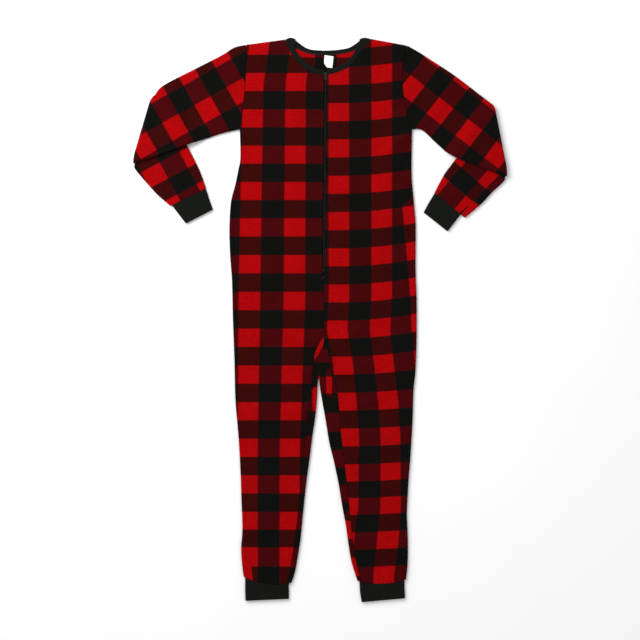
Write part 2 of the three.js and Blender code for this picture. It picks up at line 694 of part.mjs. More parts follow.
function zipSlider(middle) {
  const [y0, y1] = [sliderY - sliderLength / 2, sliderY + sliderLength / 2];
  const lowerTop = tapeFloor - 0.35;
  const corner = 1.4;
  const plate = new THREE.Shape([
    new THREE.Vector2(-sliderHalfWidth + corner, y0), new THREE.Vector2(sliderHalfWidth - corner, y0),
    new THREE.Vector2(sliderHalfWidth, y0 + corner), new THREE.Vector2(sliderHalfWidth, y1 - corner),
    new THREE.Vector2(sliderHalfWidth - corner, y1), new THREE.Vector2(-sliderHalfWidth + corner, y1),
    new THREE.Vector2(-sliderHalfWidth, y1 - corner), new THREE.Vector2(-sliderHalfWidth, y0 + corner),
  ]);
  const plateAt = (z) => new THREE.ExtrudeGeometry(plate, { depth: plateThickness, bevelEnabled: false }).translate(0, 0, z);
  const post = block(-0.9, 0.9, y1 - 2.6, y1 - 0.4, lowerTop - 0.2, plateTop - plateThickness + 0.2);
  const legs = [-bridgeReach, bridgeReach - bridgeLeg].map((y) => (
    block(-bridgeHalfWidth, bridgeHalfWidth, sliderY + y, sliderY + y + bridgeLeg, plateTop - 0.2, bridgeTop)));
  const arch = block(-bridgeHalfWidth, bridgeHalfWidth, sliderY - bridgeReach, sliderY + bridgeReach, bridgeBelow, bridgeTop);
  const parts = [plateAt(lowerTop - plateThickness), plateAt(plateTop - plateThickness), post, ...legs, arch];
  const solid = parts.map(toManifold).reduce((whole, piece) => whole.add(piece));
  return fromManifold(solid).translate(middle, 0, 0);
}

// Pull tab: its crossbar lies in the bridge and the bridge's near leg stands in its hole
function zipPull(middle) {
  const barHalf = 0.5;
  const shape = new THREE.Shape();
  shape.moveTo(-pullHalfWidth, barHalf);
  shape.lineTo(-pullHalfWidth, 3 - pullLength);
  shape.absarc(0, 2.3 - pullLength, pullHalfWidth, Math.PI, 2 * Math.PI, false);
  shape.lineTo(pullHalfWidth, barHalf);
  const hole = new THREE.Path();
  hole.moveTo(-1.1, -barHalf);
  hole.lineTo(1.1, -barHalf);
  hole.lineTo(1.1, -5);
  hole.lineTo(-1.1, -5);
  shape.holes.push(hole);
  const options = { depth: pullThickness, bevelEnabled: false, curveSegments: 8 };
  return new THREE.ExtrudeGeometry(shape, options).translate(middle, sliderY, pullAxisZ - pullThickness / 2);
}

// Label: a thin strip lying on the inside of the back, under the neckband
function labelPiece() {
  const corners = table(['x', 'y'], [[11.5, 661.5], [34, 658.5], [31, 629], [9.5, 632]]);
  const shape = new THREE.Shape(corners.map(({ x, y }) => new THREE.Vector2(x, y)));
  return new THREE.ExtrudeGeometry(shape, { depth: 0.8, bevelEnabled: false }).translate(0, 0, fleeceThickness + 0.3);
}

const finishes = {
  fleece: { color: 0x6b0a0c, roughness: 0.95, metalness: 0 },
  fleeceBack: { color: 0x5a090b, roughness: 0.95, metalness: 0 },
  rib: { color: 0x17191a, roughness: 0.9, metalness: 0 },
  tape: { color: 0x141414, roughness: 0.8, metalness: 0 },
  metal: { color: 0x4a4442, roughness: 0.4, metalness: 0.8 },
  label: { color: 0xf4f4f0, roughness: 0.6, metalness: 0 },
};

function named(name, geometry, finish) {
  const mesh = new THREE.Mesh(geometry, new THREE.MeshStandardMaterial(finishes[finish]));
  mesh.name = name;
  return mesh;
}

const garment = new THREE.Group();
const sliderX = smoothAt(middleLine, sliderY);
const stopX = smoothAt(middleLine, zipStopY);
garment.add(
  named('front_right', frontPanel(bodySides.right), 'fleece'),
  named('front_left', frontPanel(bodySides.left), 'fleece'),
  named('back', backPanel(), 'fleeceBack'),
  named('sleeve_right', sleevePiece(sleeves.right), 'fleece'),
  named('sleeve_left', sleevePiece(sleeves.left), 'fleece'),
  named('cuff_wrist_right', wristCuff(sleeves.right, false), 'rib'),
  named('cuff_wrist_left', wristCuff(sleeves.left, true), 'rib'),
  named('cuff_ankle_right', ankleCuff(bodySides.right, ankleCuffs.right, false), 'rib'),
  named('cuff_ankle_left', ankleCuff(bodySides.left, ankleCuffs.left, true), 'rib'),
  named('neckband', neckbandPiece(), 'rib'),
  named('zip_tape_right', zipTape(-1), 'tape'),
  named('zip_tape_left', zipTape(1), 'tape'),
  named('zip_slider', zipSlider(sliderX), 'metal'),
  named('zip_pull', zipPull(sliderX), 'metal'),
  named('zip_stop', block(stopX - 2.2, stopX + 2.2, zipStopY - 2, zipStopY + 2, 5.3, 7.2), 'metal'),
  named('label', labelPiece(), 'label'),
);

export default garment;
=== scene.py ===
# Checked fleece onesie pajama lying flat, face up, with its sleeves folded under at the elbow.
# The tables are in millimetres and the scene is in metres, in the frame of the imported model.

import math

import bmesh
import bpy
import numpy as np
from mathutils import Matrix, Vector
from mathutils.bvhtree import BVHTree


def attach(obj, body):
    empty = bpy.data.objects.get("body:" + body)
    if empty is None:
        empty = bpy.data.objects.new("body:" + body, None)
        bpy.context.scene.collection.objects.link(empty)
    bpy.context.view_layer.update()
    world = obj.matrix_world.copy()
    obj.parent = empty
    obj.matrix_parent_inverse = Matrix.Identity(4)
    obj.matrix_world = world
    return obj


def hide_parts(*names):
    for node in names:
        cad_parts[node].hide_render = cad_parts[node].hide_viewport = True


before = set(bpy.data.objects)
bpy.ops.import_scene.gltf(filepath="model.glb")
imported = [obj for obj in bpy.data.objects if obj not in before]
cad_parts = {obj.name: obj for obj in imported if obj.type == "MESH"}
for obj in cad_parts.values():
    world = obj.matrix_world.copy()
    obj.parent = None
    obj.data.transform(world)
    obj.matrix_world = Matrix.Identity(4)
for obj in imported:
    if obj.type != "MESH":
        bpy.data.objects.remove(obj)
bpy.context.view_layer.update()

millimetre = 0.001


# Shader maths

class Signal:  # a number or colour that varies over the surface

    def __init__(self, finish, socket):
        self.finish = finish
        self.socket = socket

    def maths(self, operation, *values):
        return self.finish.node("ShaderNodeMath", {"operation": operation}, dict(enumerate(values)))

    def __add__(self, other):
        return self.maths("ADD", self, other)

    def __mul__(self, other):
        return self.maths("MULTIPLY", self, other)

    def __sub__(self, other):
        return self.maths("SUBTRACT", self, other)

    def __rsub__(self, other):
        return self.maths("SUBTRACT", other, self)

    __radd__ = __add__
    __rmul__ = __mul__

    def wave(self):  # cosine, with one crest at each whole number
        return self.maths("COSINE", self * (2 * math.pi))

    def clamped(self):
        return self.maths("MAXIMUM", self.maths("MINIMUM", self, 1.0), 0.0)


class Finish:  # one material and the nodes that make it

    def __init__(self, name, constants):
        self.material = bpy.data.materials.new(name)
        self.material.use_nodes = True
        self.tree = self.material.node_tree
        self.shader = self.tree.nodes["Principled BSDF"]
        self.feed(self.shader, constants)

    def feed(self, made, inputs):
        for name, value in inputs.items():
            if isinstance(value, Signal):
                self.tree.links.new(value.socket, made.inputs[name])
            else:
                made.inputs[name].default_value = value

    def node(self, kind, settings=None, inputs=None, output=0):
        made = self.tree.nodes.new(kind)
        for name, value in (settings or {}).items():
            setattr(made, name, value)
        self.feed(made, inputs or {})
        return Signal(self, made.outputs[output])

    def place(self):
        return self.node("ShaderNodeTexCoord", output="Object")

    def grain(self):  # the two coordinates that follow the cloth
        layer = self.node("ShaderNodeUVMap", {"uv_map": "grain"})
        return [self.node("ShaderNodeSeparateXYZ", inputs={0: layer}, output=axis) for axis in "XY"]

    def noise(self, scale, detail=2.0):
        inputs = {"Vector": self.place(), "Scale": scale, "Detail": detail}
        return self.node("ShaderNodeTexNoise", inputs=inputs)

    def mix(self, factor, first, second, blendType="MIX"):
        settings = {"data_type": "RGBA", "blend_type": blendType}
        return self.node("ShaderNodeMix", settings, {0: factor, 6: first, 7: second}, 2)

    def shaded(self, colour, brightness):  # a colour times a number
        return self.mix(1.0, colour, brightness, "MULTIPLY")

    def bump(self, height, distance, strength=1.0):
        inputs = {"Height": height, "Distance": distance, "Strength": strength}
        self.feed(self.shader, {"Normal": self.node("ShaderNodeBump", inputs=inputs)})


def colour(red, green, blue):  # linear colour of a screen colour from 0 to 255
    def linear(value):
        share = value / 255
        return share / 12.92 if share <= 0.04045 else ((share + 0.055) / 1.055) ** 2.4
    return (linear(red), linear(green), linear(blue), 1.0)


fleeceLook = {
    "red": colour(154, 1, 4),
    "redRow": colour(62, 2, 5),  # a red row over a black column
    "redColumn": colour(50, 4, 3),  # a black row over a red column
    "black": colour(9, 10, 9),
    "edge": 6.0,  # how sharp the check's edges are
    "blackColumn": 0.07,  # how much wider the black columns are
    "blackRow": 0.02,
    "wander": 0.016,  # how far they wander, in checks
    "roughness": 0.93,
    "pileScale": 210,
    "fibreScale": 950,
    "cloudScale": 16,
    "rowScale": 260,
    "clumpScale": 90,
    "depth": 0.0011,  # metres
}


def fleeceFinish(name):
    look = fleeceLook
    finish = Finish(name, {
        "Roughness": look["roughness"], "Specular IOR Level": 0.05,
        "Sheen Weight": 0.025, "Sheen Roughness": 0.5, "Sheen Tint": colour(255, 170, 160),
    })
    along, across = finish.grain()
    pile = finish.noise(look["pileScale"], 3.0)
    fibre = finish.noise(look["fibreScale"], 3.0)
    clouds = finish.noise(look["cloudScale"])

    def stripe(position, wander, wider):
        crest = (position + (wander - 0.5) * look["wander"]).wave() - wider
        return (crest * look["edge"] + 0.5).clamped()

    column = stripe(along, pile, look["blackColumn"])
    row = stripe(across, finish.noise(look["rowScale"], 3.0), look["blackRow"])
    darkRow = finish.mix(column, look["black"], look["redColumn"])
    brightRow = finish.mix(column, look["redRow"], look["red"])
    check = finish.mix(row, darkRow, brightRow)
    brightness = pile * 0.8 + fibre * 0.9 + clouds * 0.3
    finish.feed(finish.shader, {"Base Color": finish.shaded(check, brightness)})
    nap = pile * 0.9 + fibre * 0.7 + finish.noise(look["clumpScale"]) * 0.8
    finish.bump(nap, look["depth"], 0.8)
    return finish.material


ribLook = {
    "base": colour(23, 26, 22),
    # furrow is painted shade: the darker colour of the knit's valleys, where the ribs shade them
    "furrow": colour(8, 9, 8),
    "wale": 1.3,  # millimetres
    "course": 1.1,
    "fuzzScale": 800,
    "depth": 0.0004,  # metres
}


def ribFinish(name):
    look = ribLook
    finish = Finish(name, {"Roughness": 0.9, "Specular IOR Level": 0.1, "Sheen Weight": 0.02})
    around, along = finish.grain()
    wale = (around * (1 / look["wale"])).wave()
    stitch = (along * (1 / look["course"]) + wale * 0.3).wave()
    fuzz = finish.noise(look["fuzzScale"], 3.0)
    # crests take the base colour and valleys the furrow colour, which is painted shade, mixed with
    # random fuzz tone
    ribShadeAndFuzz = wale * 0.3 + stitch * 0.25 + fuzz * 0.5 + 0.25
    finish.feed(finish.shader, {"Base Color": finish.mix(ribShadeAndFuzz.clamped(), look["furrow"], look["base"])})
    finish.bump(wale * 0.5 + stitch * 0.5 + fuzz, look["depth"], 0.7)
    return finish.material


tapeLook = {
    # the twill's ridges get the light colour and its hollows the dark one: painted highlight and shade,
    # mixed with random thread tone
    "dark": colour(7, 6, 5),
    "light": colour(17, 13, 11),
    "twill": 1.4,  # ridges a millimetre
    "threadScale": 900,
    "depth": 0.0002,
}


def tapeFinish(name):
    look = tapeLook
    finish = Finish(name, {"Roughness": 0.9, "Specular IOR Level": 0.1})
    across, along = finish.grain()
    twill = ((across + along) * look["twill"]).wave()
    # twill ridges painted lighter and hollows darker, plus random thread tone
    threadToneAndTwillLight = twill * 0.4 + finish.noise(look["threadScale"]) * 0.6
    base = finish.mix(threadToneAndTwillLight.clamped(), look["dark"], look["light"])
    finish.feed(finish.shader, {"Base Color": base})
    finish.bump(threadToneAndTwillLight, look["depth"], 0.6)
    return finish.material


plasticLook = {"wearScale": 700, "grainScale": 1600, "depth": 0.00008}


def plasticFinish(name, dark, light, roughness):
    look = plasticLook
    finish = Finish(name, {"Specular IOR Level": 0.25})
    wear = finish.noise(look["wearScale"], 3.0)
    finish.feed(finish.shader, {
        "Base Color": finish.mix(wear, dark, light), "Roughness": wear * 0.25 + roughness,
    })
    finish.bump(finish.noise(look["grainScale"]), look["depth"], 0.4)
    return finish.material


metalLook = {
    "dark": colour(26, 22, 20),
    "light": colour(56, 48, 44),
    "scratchScale": 600,
    "patchScale": 120,
    "polish": 0.32,  # roughness where it is smoothest
    "depth": 0.00006,
}


def metalFinish(name):
    look = metalLook
    finish = Finish(name, {"Metallic": 0.6, "Specular IOR Level": 0.4})
    scratches = finish.noise(look["scratchScale"], 4.0)
    patches = finish.noise(look["patchScale"], 3.0)
    tone = (scratches * 0.5 + patches * 0.7 - 0.1).clamped()
    finish.feed(finish.shader, {
        "Base Color": finish.mix(tone, look["dark"], look["light"]),
        "Roughness": scratches * 0.3 + look["polish"],
    })
    finish.bump(scratches, look["depth"], 0.5)
    return finish.material


labelLook = {
    "shade": colour(228, 228, 222),
    "white": colour(252, 252, 248),
    "warp": 2.2,  # threads a millimetre
    "weft": 1.7,
    "blurScale": 300,
    "depth": 0.00008,
}


def labelFinish(name):
    look = labelLook
    finish = Finish(name, {"Roughness": 0.42, "Specular IOR Level": 0.4, "Sheen Weight": 0.1})
    across, along = finish.grain()
    weave = (across * look["warp"]).wave() * 0.5 + (along * look["weft"]).wave() * 0.5
    tone = (weave * 0.1 + finish.noise(look["blurScale"]) * 0.3 + 0.6).clamped()
    finish.feed(finish.shader, {"Base Color": finish.mix(tone, look["shade"], look["white"])})
    finish.bump(weave, look["depth"], 0.5)
    return finish.material


finishes = {
    "fleece": fleeceFinish("checkedFleece"),
    "rib": ribFinish("blackRib"),
    "tape": tapeFinish("zipTape"),
    "coil": plasticFinish("zipCoil", colour(11, 8, 7), colour(27, 20, 17), 0.55),
    "thread": plasticFinish("sewingThread", colour(7, 7, 7), colour(20, 18, 18), 0.75),
    "metal": metalFinish("zipMetal"),
    "label": labelFinish("blankLabel"),
}
print("finishes made")


# Curves and creases

def lerp(start, end, share):
    return start + (end - start) * share


def smoothstep(value, low, high):
    share = np.clip((value - low) / (high - low), 0, 1)
    return share * share * (3 - 2 * share)


def smoothAt(rows, y):  # smooth x at a height, from rows of (y, x) that run downwards
    heights, places = np.array(rows, float).T
    slopes = np.gradient(places, heights)
    slopes[1:-1] = (places[2:] - places[:-2]) / (heights[2:] - heights[:-2])
    i = np.clip(np.searchsorted(-heights, -np.asarray(y, float)), 1, len(heights) - 1)
    span = heights[i] - heights[i - 1]
    t = np.clip((y - heights[i - 1]) / span, 0, 1)
    before, after = t * t * (2 * t - 3) + 1, t * t * (3 - 2 * t)
    bend = t * (t - 1) * (t - 1) * slopes[i - 1] + t * t * (t - 1) * slopes[i]
    return before * places[i - 1] + after * places[i] + bend * span


def straightAt(rows, value):  # straight lines through rows of (value, result), going on past both ends
    table = np.array(sorted(rows), float)
    values, results = table.T
    i = np.clip(np.searchsorted(values, value), 1, len(values) - 1)
    t = (value - values[i - 1]) / (values[i] - values[i - 1])
    return lerp(results[i - 1], results[i], t)


def splineAt(rows, number):  # smooth row of a table at a row number with a fraction
    table = np.array(rows, float)
    i = np.clip(np.floor(number).astype(int), 0, len(table) - 2)
    t = (number - i)[:, None]
    p0, p1, p2, p3 = [table[np.clip(i + k, 0, len(table) - 1)] for k in (-1, 0, 1, 2)]
    return 0.5 * (2 * p1 + (p2 - p0) * t + (2 * p0 - 5 * p1 + 4 * p2 - p3) * t ** 2
                  + (3 * p1 - p0 - 3 * p2 + p3) * t ** 3)


def rollDrop(distance, radius):  # how far a seamed edge has turned down at a distance from its end
    inside = np.clip(radius - distance, 0, radius)
    return radius - np.sqrt(radius * radius - inside * inside)


def rollSteps(radius, count=5):  # distances from such an edge, close together at its end
    return radius * (1 - np.cos(np.linspace(0, math.pi / 2, count)))


def creases(rows, x, y):  # height that a table of creases gives the cloth
    total = np.zeros_like(x)
    for x0, y0, x1, y1, bend, height, width in rows:
        dx, dy = x1 - x0, y1 - y0
        length = math.hypot(dx, dy)
        share = ((x - x0) * dx + (y - y0) * dy) / length ** 2
        t = np.clip(share, 0, 1)
        aside = ((y - y0) * dx - (x - x0) * dy) / length - bend * 4 * t * (1 - t)
        beyond = (share - t) * length
        spread = width * np.where(aside > 0, 1.3, 0.75)
        away = (aside ** 2 + beyond ** 2) / spread ** 2
        total += height * np.exp(-away) * (1 - 0.65 * t)
    return total


def undulation(x, y, height, length, shift):  # soft uneven waves all over a piece
    total = np.zeros_like(x)
    for k in range(7):
        angle = 2.4 * k + shift
        wave = 2 * math.pi / (length * (0.55 + 0.17 * k))
        total += np.sin(wave * (x * math.cos(angle) + y * math.sin(angle)) + 1.7 * k + shift)
    return total * height / 4


waves = {  # height, length and shift of the soft waves on each part
    "front": [(0.55, 150, 0.0), (0.16, 42, 0.8)],
    "back": [(0.5, 130, 2.0), (0.14, 40, 1.0)],
    "upperArm": [(0.45, 110, 0.5), (0.15, 38, 1.5)],
    "lowerArm": [(0.4, 90, 2.5), (0.15, 36, 0.3)],
}


def softWaves(part, x, y):
    return sum(undulation(x, y, *row) for row in waves[part])


# Puckers: height, how far they reach from the seam, and pitch
puckers = {"zip": (0.35, 14, 17), "ankle": (1.1, 20, 12.5), "wrist": (1.0, 15, 11.5)}


def ripples(distance, along, height, reach, pitch):  # rows of puckers that fade out from a seam
    wobble = along / pitch + 0.35 * np.sin(along / (pitch * 1.9)) + 0.2 * np.sin(along / (pitch * 0.7))
    return height * np.exp(-distance / reach) * np.sin(2 * math.pi * wobble)


# Cloth meshes

class Cloth:  # grids of points with their grain, sewn together where their edges meet

    def __init__(self):
        self.points = []
        self.grains = []
        self.quads = []
        self.count = 0

    def add(self, points, grain):
        rows, columns = points.shape[:2]
        index = self.count + np.arange(rows * columns).reshape(rows, columns)
        corners = [index[:-1, :-1], index[:-1, 1:], index[1:, 1:], index[1:, :-1]]
        self.quads.append(np.stack(corners, axis=-1).reshape(-1, 4))
        self.points.append(points.reshape(-1, 3))
        self.grains.append(grain.reshape(-1, 2))
        self.count += rows * columns

    def make(self, name, finish, thickness=0.0, body="garment"):
        mesh = bpy.data.meshes.new(name)
        points = np.concatenate(self.points) * millimetre
        mesh.from_pydata(points.tolist(), [], np.concatenate(self.quads).tolist())
        corner = np.empty(len(mesh.loops), int)
        mesh.loops.foreach_get("vertex_index", corner)
        layer = mesh.uv_layers.new(name="grain")
        layer.data.foreach_set("uv", np.concatenate(self.grains)[corner].ravel())
        made = bmesh.new()
        made.from_mesh(mesh)
        bmesh.ops.remove_doubles(made, verts=made.verts, dist=0.02 * millimetre)
        bmesh.ops.recalc_face_normals(made, faces=made.faces)
        highest = max(made.faces, key=lambda face: face.calc_center_median().z)
        if highest.normal.z < 0:
            bmesh.ops.reverse_faces(made, faces=made.faces)
        made.to_mesh(mesh)
        made.free()
        return dressed(name, mesh, finish, thickness, body)


def dressed(name, mesh, finish, thickness=0.0, body="garment"):
    mesh.shade_smooth()
    mesh.materials.append(finishes[finish])
    piece = bpy.data.objects.new(name, mesh)
    bpy.context.scene.collection.objects.link(piece)
    if thickness:
        wall = piece.modifiers.new("thickness", "SOLIDIFY")
        wall.thickness = thickness * millimetre
        wall.offset = -1
    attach(piece, body)
    return piece


def together(*values):
    return np.stack(np.broadcast_arrays(*values), axis=-1)


# Body

garment = {
    "half": 4.0,  # half the height of a flat tube of fleece
    "thickness": 2.0,
    "gap": 0.3,  # between pieces at a seam
    "creaseScale": 1.8,
    "roll": 1.5,  # radius at which a seamed edge turns down
    "ankleY": -650.0,
    "fork": (-3.8, -144.0),  # where the legs part
    "crotch": (11.3, -36.3),  # where the inseams meet
    "underarmY": 476.0,
    "underarmEnd": (464, 477),  # where the side's round edge becomes a seam
    "frontNeckY": 611.3,
    "zipHalfOpening": 3.5,
    "zipStart": (104.0, 118.0),  # the fronts part between these heights
    "backNeck": (11.3, 663.3),
    "middle": [(660, 14), (608.8, 13.8), (360, 11.6), (123.8, 8.8), (30, 10), (-36.3, 11.3)],
}

# How far from each edge the creases begin, in millimetres
calm = {
    "seam": (0, 7), "armhole": (0, 9), "side": (0, 12), "backSide": (0, 14), "shoulder": (0, 5),
    "fold": (-2, 8),
}

# The two halves. Edges run downwards as rows of (y, x), and necklines outwards as seam and free points.
# A tuck has two ends, the check's shift along and down, its width and the share left at its far end.
right = {
    "outward": -1,
    "sideSeam": [
        (476, -200), (401, -199), (376, -203.8), (339, -211.3), (301, -221.3), (264, -225),
        (214, -226.3), (151, -223.8), (101, -220), (1, -217.5), (-99, -213.8), (-199, -211.3),
        (-289, -203.8), (-374, -198.8), (-449, -196.3), (-524, -193.8), (-574, -197), (-629, -193.5),
        (-660, -189),
    ],
    "legFold": [
        (-144, -4.8), (-163.8, -6), (-199, -7.5), (-239, -11.3), (-289, -18.8), (-349, -26.3),
        (-404, -33.8), (-449, -38.8), (-499, -43.8), (-549, -48.8), (-594, -56.3), (-629, -63.8),
        (-660, -75),
    ],
    "inseam": [
        (-36.3, 11.3), (-79, -11.3), (-114, -16.3), (-179, -22.5), (-274, -33.8), (-361, -43.8),
        (-449, -51.3), (-549, -63), (-629, -77), (-660, -86),
    ],
    "armhole": {"top": (-184, 687.5), "bottom": (-200, 476.3), "bow": 5},
    "shoulderNeck": (-86, 700.5),
    "ankle": {"innerY": -656, "outerY": -641, "sag": 10},
    "frontNeck": [
        (10.3, 611.3, 10.3, 624.3), (-8.8, 614.8, -5, 627), (-39.8, 630.3, -31, 640),
        (-62, 652.5, -51, 659.5), (-74.3, 670.5, -61.5, 675), (-86, 696.5, -61.3, 697.8),
    ],
    "backNeck": [
        (11.3, 663.3, 11.3, 673.2), (-23, 666.3, -18.8, 675.3), (-52, 677, -37, 681.2),
        (-68, 687, -52, 691.8), (-86, 696.5, -61.3, 697.8),
    ],
    "neckTip": (-74, 705),
    "redColumns": [
        (700, -150, -47), (640, -158, -54), (590, -166, -60.5), (426, -170, -61.9), (51, -176.3, -63.8),
        (-324, -180.6, -75.6), (-660, -180, -76.5),
    ],
    "redRows": [(593.8, 0), (231.3, 4), (-136.3, 8), (-501.3, 12), (-588.8, 13), (-694, 14)],
    "rowTilt": (0, 0),
    "tucks": [(-166, -655, -178, -585, 0, -0.5, 3, 0)],
    "stripRows": [(-75, 0), (-197, 1), (-318.8, 2), (-409, 3), (-501, 4), (-591, 5)],
    "stripColumns": [  # height, the right edge of the red column, and its pitch
        (-36, 34, 105), (-58.7, 15, 105), (-71, 4.5, 105), (-89, -5, 105), (-100, -14, 105),
        (-114, -24, 105), (-174, -72, 105), (-216, -72, 105), (-260, -66, 105), (-361, -62, 105),
        (-660, -106, 105),
    ],
}

left = {
    "outward": 1,
    "sideSeam": [
        (476, 230), (364, 228.8), (301, 233.8), (239, 238.8), (126, 238.8), (51, 241.3), (-49, 241.3),
        (-124, 238.8), (-174, 233.8), (-249, 231.3), (-336, 226.3), (-399, 221.3), (-461, 218),
        (-486, 217), (-549, 219.5), (-611, 218.8), (-660, 214),
    ],
    "legFold": [
        (-144, -2.8), (-163.8, -0.8), (-189, 3.2), (-249, 13.8), (-309, 23.8), (-349, 33.8),
        (-409, 46.3), (-469, 56.3), (-509, 63.8), (-561, 71.3), (-604, 78.8), (-636, 88.8), (-660, 97),
    ],
    "inseam": [
        (-36.3, 11.3), (-74, 18.8), (-134, 31.3), (-184, 43.8), (-274, 51.3), (-359, 61.3),
        (-444, 71.3), (-524, 78.3), (-604, 90), (-660, 107),
    ],
    "armhole": {"top": (216.3, 685.5), "bottom": (230, 475.5), "bow": 17},
    "shoulderNeck": (127, 702),
    "ankle": {"innerY": -651, "outerY": -648, "sag": 9.5},
    "frontNeck": [
        (17.3, 611.3, 17.3, 624.3), (49.8, 621.3, 46, 634), (72, 632.5, 64, 643),
        (89.8, 652.5, 79, 659), (101, 670.5, 89, 675), (127, 698, 98.8, 697.8),
    ],
    "backNeck": [
        (11.3, 663.3, 11.3, 673.2), (45, 665.8, 41.3, 674.7), (76, 672, 71.3, 680),
        (100, 684, 88, 689.6), (127, 698, 98.8, 697.8),
    ],
    "neckTip": (111.3, 705),
    "redColumns": [
        (700, 46.5, 154), (51, 47.5, 154), (-24, 42.8, 149.5), (-111, 57.8, 159.8),
        (-204, 66.3, 170.3), (-291, 73, 175.8), (-466, 69.8, 176.3), (-554, 57.3, 168.8),
        (-639, 50, 158.8), (-660, 50, 158.8),
    ],
    "redRows": [(518.8, 0), (156.3, 4), (-203.8, 8), (-382.5, 10), (-465, 11), (-638.8, 13)],
    "rowTilt": (13, 6),  # how far the rows rise towards the side, on the body and on the leg
    "tucks": [(192, 288, 192, -49, 0.28, 0, 12, 0)],
    "stripRows": [(-88.8, 0), (-159, 1), (-256, 2), (-346, 3), (-432.5, 4), (-523.5, 5), (-614, 6)],
    "stripColumns": [
        (-36, -9, 105), (-118, -9, 105), (-124, 0, 30), (-190, 0, 30), (-196, 5, 105), (-341, 15, 105),
        (-449, 36, 105), (-504, -9, 105), (-660, 23, 105),
    ],
}

# Creases: two ends, how far the line bows aside, height (a trough is below zero) and width
frontCreases = [
    (-196, 472, -112, 392, 8, 2.6, 12), (-197, 448, -132, 338, -9, -1.6, 12),
    (-198, 420, -150, 262, -7, 1.5, 14), (222, 468, 146, 384, -8, 2.6, 12),
    (226, 438, 172, 318, 9, -1.7, 12), (226, 404, 190, 250, 8, 1.5, 14),
    (-215, 356, -212, -60, 2, -1.7, 5), (-211, -60, -196, -430, -2, -1.2, 5),
    (-150, 262, -128, 66, 10, 1.5, 20), (170, 278, 148, 36, -12, 1.5, 22),
    (226, 250, 226, -20, -3, -1.3, 5), (60, 320, 110, 150, -12, 0.8, 20),
    (-70, 330, -110, 150, 10, 0.8, 20), (-8, -58, -118, -8, 6, 2.1, 11),
    (-16, -84, -128, -58, -5, -1.6, 11), (-22, -128, -126, -110, -6, 1.4, 13),
    (32, -58, 140, 4, -6, 2.2, 11), (40, -98, 146, -62, 5, -1.7, 11),
    (48, -140, 142, -118, 6, 1.4, 13), (-34, -232, -140, -192, 8, 1.6, 13),
    (-42, -300, -120, -282, -5, 1.1, 13), (60, -226, 158, -180, -8, 1.7, 13),
    (66, -296, 140, -272, 5, 1.1, 13), (-122, -300, -130, -566, 6, 1.3, 20),
    (150, -300, 146, -560, -6, 1.4, 20), (-196, -566, -166, -618, 3, 2.2, 7),
    (-192, -600, -150, -634, 3, -1.5, 7), (-150, -640, -140, -560, 4, 1.4, 8),
    (216, -600, 186, -560, -3, 1.5, 9), (120, -640, 134, -556, -4, 1.4, 9),
    (176, -642, 168, -580, 3, 1.5, 8), (-60, 566, -118, 404, 14, 1.1, 22),
    (110, 566, 148, 424, -12, 1.1, 22), (-150, 640, -96, 560, -8, 1.0, 18),
    (184, 640, 132, 556, 8, 1.0, 18), (22, 560, 60, 520, 3, 0.8, 12), (4, 500, -34, 470, 3, 0.7, 12),
    (20, 380, 52, 352, 3, 0.8, 12), (2, 300, -30, 268, 3, 0.7, 12), (14, 180, 46, 158, 3, 0.8, 12),
]
backCreases = [
    (-190, 470, -110, 380, 8, 1.7, 12), (222, 468, 140, 376, -8, 1.7, 12),
    (-160, 300, 150, 250, 14, 1.2, 14), (-120, 200, 130, 172, -10, 0.9, 12),
    (-150, 60, -60, -90, 10, 1.4, 16), (170, 60, 90, -90, -10, 1.4, 16),
    (-20, -150, -120, -90, 6, 1.7, 12), (30, -150, 130, -90, -6, 1.7, 12),
    (-60, -230, -170, -190, 8, 1.3, 13), (70, -230, 190, -200, -8, 1.3, 13),
    (-110, -300, -124, -560, 6, 1.0, 16), (140, -300, 150, -560, -6, 1.0, 16),
    (-190, -560, -160, -630, 3, 1.5, 8), (206, -560, 170, -630, -3, 1.5, 8),
    (-70, 560, -90, 380, 10, 1.0, 18), (100, 560, 120, 380, -10, 1.0, 18),
    (-130, 660, -70, 600, -6, 0.9, 14), (160, 660, 100, 600, 6, 0.9, 14),
]


def middleAt(y):
    return smoothAt(garment["middle"], y)


def frontHeight(x, y):  # the upper layer away from its seams
    beside = np.abs(x - middleAt(y))
    level = smoothstep(beside, 3, 36)
    atZip = np.where(y > garment["zipStart"][0], ripples(beside, y, *puckers["zip"]), 0)
    folds = creases(frontCreases, x, y) * garment["creaseScale"]
    return 2 * garment["half"] + (folds + softWaves("front", x, y)) * level + atZip


def ankleBend(side, x, y):  # the curve of the leg's end, fading out upwards
    ankle = side["ankle"]
    foldX = smoothAt(side["legFold"], y)
    u = np.clip((x - foldX) / (smoothAt(side["sideSeam"], y) - foldX), 0, 1)
    fade = smoothstep(garment["ankleY"] + 100 - y, 0, 100)
    bend = lerp(ankle["innerY"], ankle["outerY"], u) - garment["ankleY"] - 4 * ankle["sag"] * u * (1 - u)
    return bend * fade


def ankleGathers(side, x, y):
    above = np.maximum(y - garment["ankleY"], 0)
    return ripples(above, x * side["outward"], *puckers["ankle"])


def armholePoint(side, below):
    hole = side["armhole"]
    (topX, topY), (bottomX, bottomY) = hole["top"], hole["bottom"]
    share = below / (topY - bottomY)
    bow = side["outward"] * hole["bow"] * 4 * share * (1 - share)
    return together(lerp(topX, bottomX, share) - bow, lerp(topY, bottomY, share))


def armholeLength(side):
    return side["armhole"]["top"][1] - side["armhole"]["bottom"][1]


def outside(line, distance):  # places outside a neckline's seam, from rows of seam and free points
    out = line[:, :2] - line[:, 2:]
    out /= np.linalg.norm(out, axis=1, keepdims=True)
    return line[:, :2] + out * distance


def neckline(rows, count):  # edge of a panel at the neckband
    return outside(splineAt(rows, np.linspace(0, len(rows) - 1, count)), garment["gap"])


